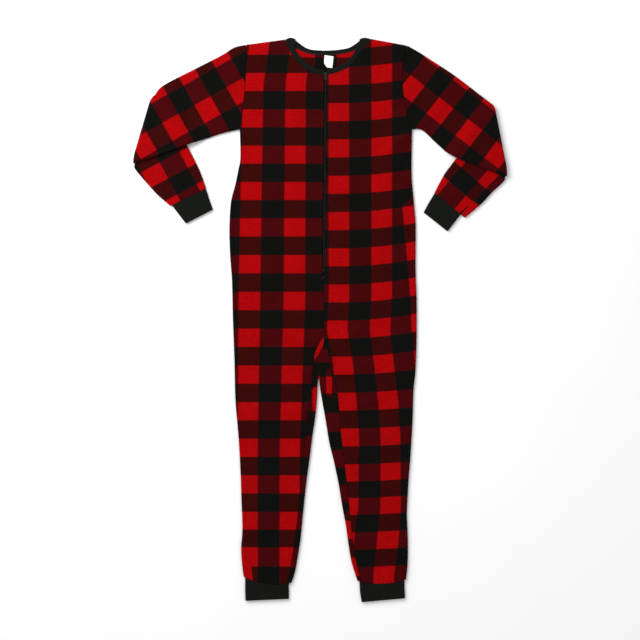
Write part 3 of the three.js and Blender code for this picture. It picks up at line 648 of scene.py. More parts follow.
def shoulderRows(side):  # rows where a panel turns down at the shoulder: their drops and both ends
    drop = rollSteps(garment["half"], 8)[::-1][1:]
    neckX, neckY = side["shoulderNeck"]
    inner = together(neckX + side["outward"] * garment["gap"], neckY - drop)
    return drop, inner, armholePoint(side, drop)


def shoulderDrops(count, drop):  # how far each row lies from the shoulder, where that matters
    drops = np.full((count, 1), 99.0)
    drops[-len(drop):, 0] = drop
    return drops


def rowDistances(total, rollIn, rollOut, nearSteps, flatColumns):  # close together where an edge turns
    flat = np.linspace(0, 1, flatColumns)
    columns = []
    for length, first, last in zip(total, rollIn, rollOut):
        start = np.concatenate([rollSteps(first), nearSteps])
        end = length - rollSteps(last, 7)[::-1]
        columns.append(np.concatenate([start[:-1], lerp(start[-1], end[0], flat), end[1:]]))
    return np.array(columns)


def acrossRows(inner, outer, rollIn, rollOut, nearSteps, flatColumns):
    # plan places along straight rows from an inner to an outer edge, and their distances from both
    total = np.linalg.norm(outer - inner, axis=1)
    distance = rowDistances(total, rollIn, rollOut, nearSteps, flatColumns)
    place = inner[:, None] + (outer - inner)[:, None] * (distance / total[:, None])[..., None]
    return place[..., 0], place[..., 1], distance, total[:, None] - distance


def checkOf(side, x, y):  # the check's coordinates on a front: red where both are near whole numbers
    table = side["redColumns"]
    first = straightAt([row[:2] for row in table], y)
    second = straightAt([(row[0], row[2]) for row in table], y)
    along = (x - first) / (second - first)
    tilt = lerp(*side["rowTilt"], smoothstep(-y, 0, 250))
    lift = tilt * (np.clip(side["outward"] * x - 50, 0, None) / 162) ** 2
    down = straightAt(side["redRows"], y - lift)
    for x0, y0, x1, y1, shiftAlong, shiftDown, blend, farShare in side["tucks"]:
        dx, dy = x1 - x0, y1 - y0
        length = math.hypot(dx, dy)
        aside = ((y - y0) * dx - (x - x0) * dy) / length
        share = ((x - x0) * dx + (y - y0) * dy) / length ** 2
        amount = smoothstep(aside, -blend / 2, blend / 2) * smoothstep(share, -0.08, 0.02)
        amount = amount * (1 - smoothstep(share, 0.9, 1.1)) * lerp(1, farShare, np.clip(share, 0, 1))
        along, down = along + shiftAlong * amount, down + shiftDown * amount
    return together(along, down)


frontRows = {
    "step": 3.6,  # between the rows of legs and body
    "chest": 38,
    "neck": 46,
    "chestShare": 0.45,  # of the armhole, beside the zip
    "nearZip": np.array([3.2, 4.2, 5.0, 5.8, 6.6, 7.6, 9.0, 11.0]),
    "flat": 52,
    "neckRoll": 2.0,
    "stitchPlace": 5.4,  # of the topstitching beside the zip
    "stitchDepth": 0.45,
}


def frontPanel(name, side):
    out, gap, roll, rows = side["outward"], garment["gap"], garment["roll"], frontRows
    ankleY, crotchY, underarmY = garment["ankleY"], garment["crotch"][1], garment["underarmY"]
    loft = 2 * garment["half"]
    upwards = np.arange(ankleY + rows["step"], underarmY, rows["step"])
    y = np.concatenate([ankleY + rollSteps(roll), upwards])
    apart = lerp(gap / 2, garment["zipHalfOpening"], smoothstep(y, *garment["zipStart"]))
    innerX = np.where(y < crotchY, smoothAt(side["inseam"], y) + out * gap, middleAt(y) + out * apart)
    inner = [together(innerX, y)]
    outer = [together(smoothAt(side["sideSeam"], y), y)]
    rollIn = [lerp(roll, rows["neckRoll"], smoothstep(y, *garment["zipStart"]))]
    rollOut = [lerp(garment["half"], roll, smoothstep(y, *garment["underarmEnd"]))]

    share = np.linspace(0, 1, rows["chest"], endpoint=False)
    chestY = lerp(underarmY, garment["frontNeckY"], share)
    neck = neckline(side["frontNeck"], rows["neck"])
    inner += [together(middleAt(chestY) + out * garment["zipHalfOpening"], chestY), neck]
    besideNeck = np.linspace(rows["chestShare"], 1, len(neck))
    downArmhole = np.concatenate([rows["chestShare"] * share, besideNeck])
    outer.append(armholePoint(side, lerp(armholeLength(side), garment["half"], downArmhole)))
    rollIn.append(np.full(len(downArmhole), rows["neckRoll"]))
    drop, shoulderInner, shoulderOuter = shoulderRows(side)
    inner.append(shoulderInner)
    outer.append(shoulderOuter)
    rollIn.append(np.full(len(drop), 1.5))
    rollOut.append(np.full(len(downArmhole) + len(drop), roll))

    inner, outer = np.concatenate(inner), np.concatenate(outer)
    rollIn, rollOut = np.concatenate(rollIn), np.concatenate(rollOut)
    nearZip, flat = rows["nearZip"], rows["flat"]
    x, flatY, distance, fromEnd = acrossRows(inner, outer, rollIn, rollOut, nearZip, flat)
    toShoulder = shoulderDrops(len(inner), drop)
    turned = rollDrop(distance, rollIn[:, None]) + rollDrop(fromEnd, rollOut[:, None])
    turned = turned + rollDrop(flatY - ankleY, roll) + rollDrop(toShoulder, garment["half"])
    stitched = rows["stitchDepth"] * np.exp(-((distance - rows["stitchPlace"]) / 1.1) ** 2)
    zipStitch = np.where(flatY > garment["zipStart"][1], stitched, 0)
    raised = frontHeight(x, flatY) - loft + ankleGathers(side, x, flatY)
    settle = smoothstep(fromEnd, *calm["side"]) * smoothstep(toShoulder, *calm["shoulder"])
    settle = settle * smoothstep(distance, *calm["seam"])
    z = loft + raised * settle - np.minimum(turned, garment["half"]) - zipStitch
    bentY = flatY + ankleBend(side, x, flatY)
    cloth = Cloth()
    cloth.add(together(x, bentY, z), checkOf(side, x, bentY))
    return cloth.make(name, "fleece", garment["thickness"])


frontRight = frontPanel("frontRight", right)
frontLeft = frontPanel("frontLeft", left)
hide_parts("front_right")
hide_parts("front_left")
print("fronts made")


# Back, whose legs wrap round the inner folds on to the top

backCheck = {"redColumn": -37.5, "redRow": 678.8, "columnPitch": 105.0, "rowPitch": 91.0}


def backGrain(x, y):
    return together((x - backCheck["redColumn"]) / backCheck["columnPitch"],
                    (backCheck["redRow"] - y) / backCheck["rowPitch"])


def stripGrain(side, x, y):  # the strip of the back that shows on top, inside the inseam
    edge = straightAt([row[:2] for row in side["stripColumns"]], y)
    pitch = straightAt([(row[0], row[2]) for row in side["stripColumns"]], y)
    return together(0.25 + (x - edge) / pitch, straightAt(side["stripRows"], y))


def backHeight(x, y):  # the underside rests flat, apart from its creases
    return np.maximum(creases(backCreases, x, y) + softWaves("back", x, y) - 0.25, 0)


backRows = {
    "strip": np.array([0, 0.015, 0.05, 0.1, 0.16, 0.25, 0.36, 0.48, 0.6, 0.72, 0.84, 0.93, 1]),
    "leg": 108,
    "cap": 40,
    "bodyStep": 5.2,
    "chest": 36,
    "neck": 40,
    "chestShare": 0.8,  # of the armhole, below the neckline
    "nearMiddle": np.array([1.0, 4.0]),
    "flat": 40,
    "neckRoll": 1.2,
    "forkReach": 30,  # how far above the fork the creases stay away from it
}


def legRows():  # from the ankle to the fork
    ankleY, forkY = garment["ankleY"], garment["fork"][1]
    straight = np.linspace(ankleY + 4, forkY - 3, backRows["leg"])
    return np.concatenate([ankleY + rollSteps(garment["roll"]), straight, [forkY]])


def backColumns(start, end, rollOut):  # places across a row, close together where it turns up at its end
    total = np.abs(end - start)
    rollIn = np.full(len(total), 0.4)
    distance = rowDistances(total, rollIn, rollOut, backRows["nearMiddle"], backRows["flat"])
    return lerp(start[:, None], end[:, None], distance / total[:, None])


def backLeg(cloth, side):
    out, half, loft = side["outward"], garment["half"], 2 * garment["half"]
    forkX, forkY = garment["fork"]
    y = legRows()[:, None]
    isFork = y == forkY
    foldX, inseamX = smoothAt(side["legFold"], y), smoothAt(side["inseam"], y)
    centreX = np.where(isFork, forkX, foldX + out * half)
    anklePart = rollDrop(y - garment["ankleY"], garment["roll"])

    stripX = lerp(inseamX, centreX, backRows["strip"])
    stripY = y + np.where(isFork, half * backRows["strip"] ** 2, 0)
    fromSeam = np.abs(stripX - inseamX)
    ease = smoothstep(fromSeam, *calm["seam"]) * smoothstep(np.abs(stripX - centreX), *calm["fold"])
    z = loft + (frontHeight(stripX, y) - loft + ankleGathers(side, stripX, y)) * ease
    z = z - np.minimum(rollDrop(fromSeam, garment["roll"]) + anklePart, half)
    bent = stripY + ankleBend(side, stripX, y)
    cloth.add(together(stripX, bent, z), stripGrain(side, stripX, y))

    angle = np.linspace(math.pi / 2, -math.pi / 2, 11)
    bendX = np.where(isFork, forkX, centreX - out * half * np.cos(angle))
    bendY = y + np.where(isFork, half * (1 - np.cos(angle)), 0)
    z = half + (half - anklePart) * np.sin(angle)
    z[:, 0] = loft - anklePart[:, 0]
    lift = frontHeight(centreX, y) - loft + ankleGathers(side, centreX, y)
    z = z + lift * smoothstep(0, *calm["fold"]) * np.maximum(np.sin(angle), 0)
    cloth.add(together(bendX, bendY + ankleBend(side, bendX, y), z), stripGrain(side, bendX, y))

    sideX = smoothAt(side["sideSeam"], y)
    start = np.where(isFork, forkX, centreX)
    bottomX = backColumns(start[:, 0], sideX[:, 0], np.full(len(y), half))
    share = (bottomX - start) / (sideX - start)
    bottomY = y + np.where(isFork, half * (1 - share) ** 6, 0)
    z = rollDrop(np.abs(sideX - bottomX), half) + anklePart
    settle = smoothstep(np.abs(sideX - bottomX), *calm["backSide"])
    settle = settle * smoothstep(np.abs(bottomX - start), *calm["side"])
    z = z + backHeight(bottomX, bottomY) * settle
    cloth.add(together(bottomX, bottomY + ankleBend(side, bottomX, y), z), backGrain(bottomX, bottomY))


def crotchCap(cloth, side):  # the back's cloth between the inseams, above the fork
    (forkX, forkY), (crotchX, crotchY) = garment["fork"], garment["crotch"]
    y = np.linspace(forkY, crotchY - garment["gap"], backRows["cap"])[:, None]
    isFork = y == forkY
    middleX = lerp(forkX, crotchX, (y - forkY) / (crotchY - forkY))
    inseamX = smoothAt(side["inseam"], y)
    x = lerp(inseamX, middleX, backRows["strip"])
    capY = y + np.where(isFork, garment["half"] * backRows["strip"] ** 2, 0)
    capY[1:] = np.maximum(capY[1:], capY[0] + 0.01 * np.arange(1, len(y))[:, None])
    fromSeam = np.abs(x - inseamX)
    aboveFork = smoothstep(y - forkY, 0, backRows["forkReach"])
    atMiddle = lerp(smoothstep(np.abs(x - middleX), *calm["fold"]), 1, aboveFork)
    ease = smoothstep(fromSeam, *calm["seam"]) * atMiddle
    loft = 2 * garment["half"]
    z = loft + (frontHeight(x, y) - loft) * ease - rollDrop(fromSeam, garment["roll"])
    cloth.add(together(x, capY, z), stripGrain(side, x, y))


def backBody(cloth, side):
    half, roll, rows = garment["half"], garment["roll"], backRows
    forkX, forkY = garment["fork"]
    neckX, neckY = garment["backNeck"]
    underarmY = garment["underarmY"]

    def centreAt(y):
        return lerp(forkX, neckX, np.clip((y - forkY) / (neckY - forkY), 0, 1))

    y = np.concatenate([[forkY], np.arange(forkY + 7, underarmY, rows["bodyStep"])])
    inner = [together(centreAt(y), y)]
    outer = [together(smoothAt(side["sideSeam"], y), y)]
    rollOut = [lerp(half, roll, smoothstep(y, *garment["underarmEnd"]))]
    neck = neckline(side["backNeck"], rows["neck"])
    share = np.linspace(0, 1, rows["chest"], endpoint=False)
    chestY = lerp(underarmY, neck[0, 1], share)
    drop, shoulderInner, shoulderOuter = shoulderRows(side)
    inner += [together(centreAt(chestY), chestY), neck, shoulderInner]
    besideNeck = np.linspace(rows["chestShare"], 1, len(neck))
    downArmhole = np.concatenate([rows["chestShare"] * share, besideNeck])
    outer += [armholePoint(side, lerp(armholeLength(side), half, downArmhole)), shoulderOuter]
    rollOut.append(np.full(len(downArmhole) + len(drop), roll))

    inner, outer, rollOut = np.concatenate(inner), np.concatenate(outer), np.concatenate(rollOut)
    rollIn = np.full(len(inner), 0.4)
    x, y, distance, fromEnd = acrossRows(inner, outer, rollIn, rollOut, rows["nearMiddle"], rows["flat"])
    y[0] += half * (1 - distance[0] / distance[0, -1]) ** 6
    toShoulder = shoulderDrops(len(inner), drop)
    isNeck = np.arange(len(inner)) >= len(inner) - len(drop) - len(neck)
    neckEdge = np.where(isNeck[:, None], rollDrop(distance, rows["neckRoll"]), 0)
    turned = rollDrop(fromEnd, rollOut[:, None]) + rollDrop(toShoulder, half) + neckEdge
    settle = smoothstep(fromEnd, *calm["backSide"]) * smoothstep(toShoulder, *calm["shoulder"])
    aboveFork = smoothstep(inner[:, 1:2] - forkY, 0, rows["forkReach"])
    settle = settle * lerp(smoothstep(distance, *calm["side"]), 1, aboveFork)
    z = np.minimum(turned, half) + backHeight(x, y) * settle
    cloth.add(together(x, y, z), backGrain(x, y))


backCloth = Cloth()
for side in (right, left):
    backLeg(backCloth, side)
    crotchCap(backCloth, side)
    backBody(backCloth, side)
back = backCloth.make("backPanel", "fleece", garment["thickness"])
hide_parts("back")
print("back made")


# Flattened tubes: sleeves and cuffs

def halfRing(isTop, flatColumns, turnColumns):
    # shares of the half height and of the width that place a column across the tube, and its angle
    flat = np.linspace(0, 1, flatColumns)[1:-1]
    turn = np.linspace(0, math.pi / 2, turnColumns)
    start = [1 - np.cos(turn), np.zeros_like(turn), math.pi - turn]
    middle = [1 - 2 * flat, flat, np.full_like(flat, math.pi / 2)]
    end = [np.cos(turn[::-1]) - 1, np.ones_like(turn), turn[::-1]]
    ring = np.concatenate([np.array(start), np.array(middle), np.array(end)], axis=1)
    return ring if isTop else ring * np.array([[1], [1], [-1]])


class Tube:  # sections across a flattened tube, as tables of points a and b

    def __init__(self, sections, half):
        self.a = sections[:, :2]
        across = sections[:, 2:4] - self.a
        self.width = np.linalg.norm(across, axis=1)
        self.across = across / self.width[:, None]
        self.half = half

    def spread(self, ring, inset):  # plan place, height and outward direction of every point of a ring
        shareHalf, shareWidth, angle = ring
        cos, sin = np.cos(angle), np.sin(angle)
        inset = np.asarray(inset)
        s = shareHalf * self.half + shareWidth * self.width[:, None] - inset * cos
        h = self.half * (1 + sin) - inset * sin
        place = self.a[:, None] + self.across[:, None] * s[..., None]
        return place[..., 0], place[..., 1], h, s


# Sleeves. Sections run from armhole to cuff as points a and b, with their bow on the upper arm.
sleeveRight = {
    "outward": -1,
    "fold": ((-420, 562.5), (-466.3, 391.3)),
    "elbow": (-328.8, 437.5),
    "upper": [
        (-184.5, 687.5, -200.5, 476.3, 5), (-213.8, 680.5, -226, 470.5, 3), (-246, 661, -251, 464, 1),
        (-314, 626, -289, 451, 0), (-389, 587, -328.8, 437.5, 0),
    ],
    "lower": [
        (-380, 508, -463, 379), (-346, 461, -449, 361), (-314, 401, -430, 339), (-297, 364, -406, 313),
        (-284.5, 329, -373, 284.5),
    ],
    "cuff": [(-285.2, 328.2, -369.2, 286), (-277, 303, -353, 264), (-267.5, 276, -335, 241)],
    "upperCheck": {"red": (-280.5, 524.5), "down": (-0.87, -0.49), "pitch": (107.5, 91.3)},
    "lowerCheck": {"red": (-412.5, 361), "down": (0.47, -0.88), "pitch": (107.5, 91.3)},
    "corner": (22, 30),  # how far the fold's two ends round away
}

sleeveLeft = {
    "outward": 1,
    "fold": ((434.5, 541), (466.3, 358.8)),
    "elbow": (338.8, 405),
    "upper": [
        (217.3, 685.5, 230.9, 475.5, 17), (246, 669.5, 246, 477, 10), (276, 650, 262, 469, 5),
        (331, 614, 297, 436, 0), (383, 575, 338.8, 405, 0),
    ],
    "lower": [
        (398, 480, 461, 349), (364, 435, 450, 337), (329, 389, 430, 319), (309, 361, 404, 291),
        (286, 318, 362, 255),
    ],
    "cuff": [(286.5, 317.1, 351.3, 263.5), (271, 291, 334, 241), (258.8, 268.8, 318.8, 221.3)],
    "upperCheck": {"red": (371, 466.5), "down": (0.79, -0.61), "pitch": (107.5, 90.5)},
    "lowerCheck": {"red": (428.5, 345.5), "down": (-0.65, -0.76), "pitch": (107.5, 91.3)},
    "corner": (16, 30),
    "seamInset": 20.0,  # of the seam that shows on the lower arm
}

upperSleeveCreases = [
    (-236, 486, -306, 566, 8, 2.2, 13), (-226, 500, -262, 596, -6, -1.4, 12),
    (-330, 446, -376, 500, -6, 1.8, 11), (-408, 528, -352, 462, 8, 1.9, 12),
    (-446, 444, -374, 432, 4, 1.7, 10), (-440, 480, -380, 486, -4, -1.2, 10),
    (-300, 610, -250, 560, 6, 1.0, 16), (-200, 640, -240, 560, 6, 1.3, 14),
    (254, 490, 324, 566, -8, 2.2, 13), (240, 506, 276, 600, 6, -1.4, 12),
    (340, 414, 386, 470, 6, 1.8, 11), (426, 506, 358, 442, -8, 1.9, 12),
    (448, 414, 382, 404, -4, 1.7, 10), (444, 452, 384, 458, 4, -1.2, 10),
    (310, 600, 262, 550, -6, 1.0, 16), (236, 640, 262, 560, -6, 1.3, 14),
]
lowerSleeveCreases = [
    (-330, 396, -404, 344, 6, 1.8, 12), (-372, 424, -448, 380, 5, -1.1, 10),
    (-320, 350, -372, 322, 4, 1.2, 10), (332, 378, 402, 318, -6, 1.8, 12),
    (372, 396, 446, 352, -5, -1.1, 10), (316, 336, 366, 300, -4, 1.2, 10),
]
underArmCreases = [
    (-240, 500, -330, 560, 8, 1.5, 14), (-420, 480, -350, 520, 6, 1.2, 14),
    (-300, 400, -390, 350, 6, 1.4, 12), (250, 500, 340, 560, -8, 1.5, 14),
    (430, 470, 360, 500, -6, 1.2, 14), (310, 400, 396, 340, -6, 1.4, 12),
]


def drapeHeight(sleeve, x, y):  # the upper arm rises over the lower arm that lies under it
    (ax, ay), (ex, ey) = sleeve["fold"][0], sleeve["elbow"]
    length = math.hypot(ex - ax, ey - ay)
    aside = sleeve["outward"] * ((x - ax) * (ey - ay) - (y - ay) * (ex - ax)) / length
    return (2 * garment["half"] + garment["gap"]) * (1 - smoothstep(aside, 8, 48))


def sleeveGrain(check, x, y):
    (cx, cy), (dx, dy) = check["red"], check["down"]
    across, along = check["pitch"]
    return together(((x - cx) * dy - (y - cy) * dx) / across, ((x - cx) * dx + (y - cy) * dy) / along)


def foldAxis(sleeve):  # the line that the sleeve folds round, and the direction out of the fold
    (ax, ay), (bx, by) = sleeve["fold"]
    length = math.hypot(bx - ax, by - ay)
    outX, outY = -(by - ay) / length * sleeve["outward"], (bx - ax) / length * sleeve["outward"]
    inset = 2 * garment["half"] + garment["gap"] / 2
    axis = (ax - outX * inset, ay - outY * inset, bx - outX * inset / 2, by - outY * inset / 2)
    return axis, (outX, outY)


sleeveRows = {
    "upperSection": 30,  # millimetres between the first two sections of the tables
    "lowerSection": 38,
    "count": 70,
    "nearFold": 22,
    "fold": 14,
    "topColumns": 46,
    "underColumns": 34,
    "grooveDepth": 0.6,
    "grooveWidth": 2.6,
}


def sleevePiece(name, sleeve):
    loft, gap, rows = 2 * garment["half"], garment["gap"], sleeveRows
    axis, (outX, outY) = foldAxis(sleeve)
    cloth = Cloth()
    edge = rollSteps(garment["roll"])
    body, bend = np.linspace(0.12, 4, rows["count"]), np.linspace(4, 5, rows["nearFold"])[1:]
    upperNumbers = np.concatenate([edge / rows["upperSection"], body, bend])
    upperRows = splineAt(sleeve["upper"] + [axis + (0,)], upperNumbers)
    lowerEnd = 5 - edge[::-1] / rows["lowerSection"]
    lowerNumbers = np.concatenate([np.linspace(0, 4.88, rows["count"]), lowerEnd])
    lowerRows = splineAt([axis] + sleeve["lower"], lowerNumbers)
    turns = np.linspace(0, math.pi, rows["fold"])[1:-1]
    for isTop in (True, False):
        ring = halfRing(isTop, rows["topColumns"] if isTop else rows["underColumns"], 7)

        tube = Tube(upperRows, garment["half"])
        fromSeam = np.linalg.norm(upperRows[:, :2] - upperRows[0, :2], axis=1)
        inset = rollDrop(fromSeam, garment["roll"])[:, None]
        x, y, h, s = tube.spread(ring, inset)
        u = s / tube.width[:, None]
        x = x - sleeve["outward"] * upperRows[:, 4:5] * 4 * u * (1 - u)
        ease = (smoothstep(fromSeam, *calm["armhole"]) * smoothstep(5 - upperNumbers, 0, 0.5))[:, None]
        soft = softWaves("upperArm", x, y)
        top = (creases(upperSleeveCreases, x, y) * garment["creaseScale"] + soft) * ease * h / loft
        drape = drapeHeight(sleeve, x, y)
        under = np.maximum(creases(underArmCreases, x, y) + soft - 0.2, 0) * (1 - h / loft) * ease
        under = under * (1 - drape / (loft + gap))
        grainX, grainY = (x, y) if isTop else mirrored(upperRows, x, y)
        upper = together(x, y, drape + h + top + under)
        cloth.add(upper, sleeveGrain(sleeve["upperCheck"], grainX, grainY))

        fold = Tube(np.array([axis] * len(turns), float), garment["half"])
        foldX, foldY, h, s = fold.spread(ring, 0)
        reach = gap / 2 + h
        swing = turns[:, None]
        fromTop = np.clip(s / sleeve["corner"][0], 0, 1)
        fromLow = np.clip((fold.width[:, None] - s) / sleeve["corner"][1], 0, 1)
        rounded = (1 - 0.8 * (1 - fromTop) ** 2) * (1 - 0.5 * (1 - fromLow) ** 2)
        x = foldX + outX * reach * np.sin(swing) * rounded
        y = foldY + outY * reach * np.sin(swing) * rounded
        folded = together(x, y, loft + gap / 2 + reach * np.cos(swing))
        if isTop:
            run = (loft + gap / 2) * swing
            grain = sleeveGrain(sleeve["upperCheck"], foldX + outX * run, foldY + outY * run)
        else:
            grain = sleeveGrain(sleeve["lowerCheck"], x, y)
        joinRows(cloth, upper[-1:], folded[:1], grain[:1])
        cloth.add(folded, grain)

        tube = Tube(lowerRows, garment["half"])
        toSeam = np.linalg.norm(lowerRows[:, :2] - lowerRows[-1, :2], axis=1)
        inset = rollDrop(toSeam, garment["roll"])[:, None]
        x, y, h, s = tube.spread(ring, inset)
        drape = drapeHeight(sleeve, x, y) / (loft + gap)
        soft = softWaves("lowerArm", x, y)
        ease = smoothstep(toSeam, *calm["seam"])[:, None]
        gathers = ripples(toSeam[:, None], s * sleeve["outward"], *puckers["wrist"])
        folds = creases(lowerSleeveCreases, x, y) * garment["creaseScale"]
        lifted = (folds + soft + gathers) * (1 - h / loft) * ((1 - drape) * ease)
        hidden = np.maximum(creases(underArmCreases, x, y) + soft + gathers, 0) * h / loft
        z = loft - h + lifted + hidden * ease * smoothstep(lowerNumbers, 0, 0.6)[:, None]
        if isTop:
            away = (axis[0] - x) * outX + (axis[1] - y) * outY
            run = 2 * away + (loft + gap / 2) * math.pi
            grain = sleeveGrain(sleeve["upperCheck"], x + outX * run, y + outY * run)
        else:
            grain = sleeveGrain(sleeve["lowerCheck"], x, y)
            if "seamInset" in sleeve:  # the check jumps across the seam of this lower arm
                pastSeam = s - tube.width[:, None] + sleeve["seamInset"]
                past = smoothstep(pastSeam, -1, 1)
                grain -= past[..., None] * (0.3, -0.02)
                grain[..., 0] += 0.5 * past * smoothstep(grain[..., 1], 0.72, 0.78)
                z = z - rows["grooveDepth"] * np.exp(-(pastSeam / rows["grooveWidth"]) ** 2) * ease
        lower = together(x, y, z)
        joinRows(cloth, lower[:1], folded[-1:], grain[:1])
        cloth.add(lower, grain)
    return cloth.make(name, "fleece", garment["thickness"])


def mirrored(sections, x, y):  # the underside's cloth goes on from the top's at the a edge
    (ax, ay), (bx, by) = sections[0, :2], sections[-1, :2]
    length = math.hypot(bx - ax, by - ay)
    dx, dy = (bx - ax) / length, (by - ay) / length
    share = (x - ax) * dx + (y - ay) * dy
    return 2 * (ax + share * dx) - x, 2 * (ay + share * dy) - y


def joinRows(cloth, first, second, grain):  # one row of faces between two parts of a sleeve
    cloth.add(np.concatenate([first, second]), np.concatenate([grain, grain]))


sleeves = {
    "Right": sleevePiece("sleeveRight", sleeveRight),
    "Left": sleevePiece("sleeveLeft", sleeveLeft),
}
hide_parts("sleeve_right")
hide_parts("sleeve_left")
print("sleeves made")


# Ribbed cuffs, folded double at the free edge

cuff = {"half": 3.9, "thickness": 2.2, "roll": 1.3, "rib": 0.5, "pitch": 2.7}


def cuffPiece(name, sections, place):
    table = np.array(sections, float)
    middles = (table[:, :2] + table[:, 2:4]) / 2
    length = np.sum(np.linalg.norm(np.diff(middles, axis=0), axis=1))
    lipRadius = cuff["thickness"] / 2
    angle = np.linspace(0, math.pi, 9)
    seam = rollSteps(cuff["roll"])
    outer = np.linspace(cuff["roll"], length - lipRadius, 12)[1:-1]
    inner = np.linspace(length - lipRadius, 1.5, 6)[1:]
    run = np.concatenate([seam, outer, length - lipRadius + lipRadius * np.sin(angle), inner, seam[:1]])
    inset = np.concatenate([
        rollDrop(seam, cuff["roll"]), np.zeros_like(outer), lipRadius * (1 - np.cos(angle)),
        np.full_like(inner, cuff["thickness"]), rollDrop(seam[:1], cuff["roll"]),
    ])
    outside = 1 - inset / cuff["thickness"]
    tube = Tube(splineAt(table[:, :4], run / length * (len(table) - 1)), cuff["half"])
    ribs = round(tube.width[0] / cuff["pitch"])
    cloth = Cloth()
    for isTop in (True, False):
        ring = halfRing(isTop, ribs * 4, 9)
        around = ring[1] * ribs + ring[0] * 0.5
        furrow = cuff["rib"] * (0.5 - 0.5 * np.cos(2 * math.pi * around)) * outside[:, None]
        x, y, h = tube.spread(ring, inset[:, None] + furrow)[:3]
        grain = together(around * 2 * ribLook["wale"], np.broadcast_to(run[:, None], x.shape))
        cloth.add(place(x, y, h, (run / length)[:, None]), grain)
    return cloth.make(name, "rib")


def wristCuff(name, sleeve):
    return cuffPiece(name, sleeve["cuff"], lambda x, y, h, share: together(x, y, h))


# Ankle cuffs: x of both ends at the seam, halfway and at the free edge, and y of the free edge's ends
ankleRight = {"x": [(-78, -187), (-77.75, -187), (-77.5, -186.3)], "freeY": (-696.3, -701.3)}
ankleLeft = {"x": [(99, 211), (100, 211.5), (103.8, 212.5)], "freeY": (-705, -695)}


def ankleCuff(name, side, ankle):
    ankleY, (seamA, seamB), freeY = garment["ankleY"], ankle["x"][0], ankle["freeY"]
    rows = [
        (a, lerp(ankleY, freeY[0], share), b, lerp(ankleY, freeY[1], share))
        for (a, b), share in zip(ankle["x"], (0, 0.5, 1))
    ]

    def place(x, y, h, share):  # between the leg's curved end and the free edge
        edgeY = lerp(*freeY, np.clip((x - seamA) / (seamB - seamA), 0, 1))
        legEnd = ankleY + ankleBend(side, x, ankleY) - garment["gap"]
        return together(x, lerp(legEnd, edgeY, np.clip(share, 0, 1)), h)

    return cuffPiece(name, rows, place)


cuffs = {
    "wristCuffRight": wristCuff("wristCuffRight", sleeveRight),
    "wristCuffLeft": wristCuff("wristCuffLeft", sleeveLeft),
    "ankleCuffRight": ankleCuff("ankleCuffRight", right, ankleRight),
    "ankleCuffLeft": ankleCuff("ankleCuffLeft", left, ankleLeft),
}
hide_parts("cuff_wrist_right")
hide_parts("cuff_wrist_left")
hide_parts("cuff_ankle_right")
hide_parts("cuff_ankle_left")
print("cuffs made")


# Neckband

neck = {
    "thickness": 2.0, "roll": 1.1, "rib": 0.3, "pitch": 2.6,
    "front": 220, "back": 200, "turn": 13,  # counts of sections
    "tipStart": 0.72,  # share of each line at which the band begins to rise to its tip
}


def neckbandRun(side, line, upward, count):
    # for each section: seam point, free point, push of its middle, and the angle at which it lies
    rows = side[line]
    table = splineAt(rows, np.linspace(0, len(rows) - 1, count))
    tip = np.array(side["neckTip"]) - (0, garment["half"])
    seam = np.array(side["shoulderNeck"]) - (0, garment["half"])
    push = tip - (seam + rows[-1][2:]) / 2
    share = smoothstep(np.linspace(0, 1, count), neck["tipStart"], 1)[:, None]
    return np.concatenate([table, push * share, np.full((count, 1), upward * math.pi / 2)], axis=1)


def neckTurn(side):  # sections round a neck tip, from the front to the back
    turned = np.repeat(neckbandRun(side, "frontNeck", 1, 2)[-1:], neck["turn"], axis=0)
    turned[:, 6] = np.linspace(math.pi / 2, -math.pi / 2, neck["turn"])
    return turned[1:-1]


def neckband():
    sections = np.concatenate([
        neckbandRun(left, "frontNeck", 1, neck["front"]), neckTurn(left),
        neckbandRun(left, "backNeck", -1, neck["back"])[::-1],
        neckbandRun(right, "backNeck", -1, neck["back"])[1:],
        neckTurn(right)[::-1], neckbandRun(right, "frontNeck", 1, neck["front"])[::-1],
    ])
    seam, free, push, angle = sections[:, :2], sections[:, 2:4], sections[:, 4:6], sections[:, 6]
    middle = (seam + free) / 2
    steps = np.linalg.norm(np.diff(middle, axis=0), axis=1)
    bend = np.abs(np.diff(angle)) * garment["half"]
    run = np.concatenate([[0], np.cumsum(np.hypot(steps, bend))])[:, None]
    width = np.linalg.norm(free - seam, axis=1)[:, None]
    roll = neck["roll"]
    edge = rollSteps(roll, 4)
    between = roll / width + np.linspace(0, 1, 8)[1:-1] * (1 - 2 * roll / width)
    shares = np.concatenate([edge / width, between, 1 - edge[::-1] / width], axis=1)
    distance = shares * width
    turned = rollDrop(distance, roll) + rollDrop(width - distance, roll)
    wave = 0.5 + 0.5 * np.cos(2 * math.pi * run / neck["pitch"])
    ribs = neck["rib"] * wave * np.sin(math.pi * shares)
    radius = garment["half"] - turned + ribs - neck["rib"]
    cos, sin = np.cos(angle)[:, None], np.sin(angle)[:, None]
    plan = seam[:, None] + (free - seam)[:, None] * shares[..., None]
    plan = plan + push[:, None] * (4 * shares * (1 - shares))[..., None]
    cloth = Cloth()
    points = together(plan[..., 0], plan[..., 1] + radius * cos, garment["half"] + radius * sin)
    cloth.add(points, together(run / neck["pitch"] * 2 * ribLook["wale"], distance))
    return cloth.make("neckRib", "rib", neck["thickness"])


neckbandPiece = neckband()
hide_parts("neckband")
print("neckband made")


# Zip

zipSizes = {
    "tapeThickness": 0.7, "tapeHidden": 5.0, "tapeFloor": 4.3, "top": 622.0, "bottom": 114.0,
    "cord": 0.25, "cordPlace": 2.6,  # the raised line beside the coil
    "stopY": 123.8, "coilEnd": 611.0, "coilPitch": 1.5, "coilRadius": 0.52, "coilZ": 5.5,
    "toothReach": 2.2,
}


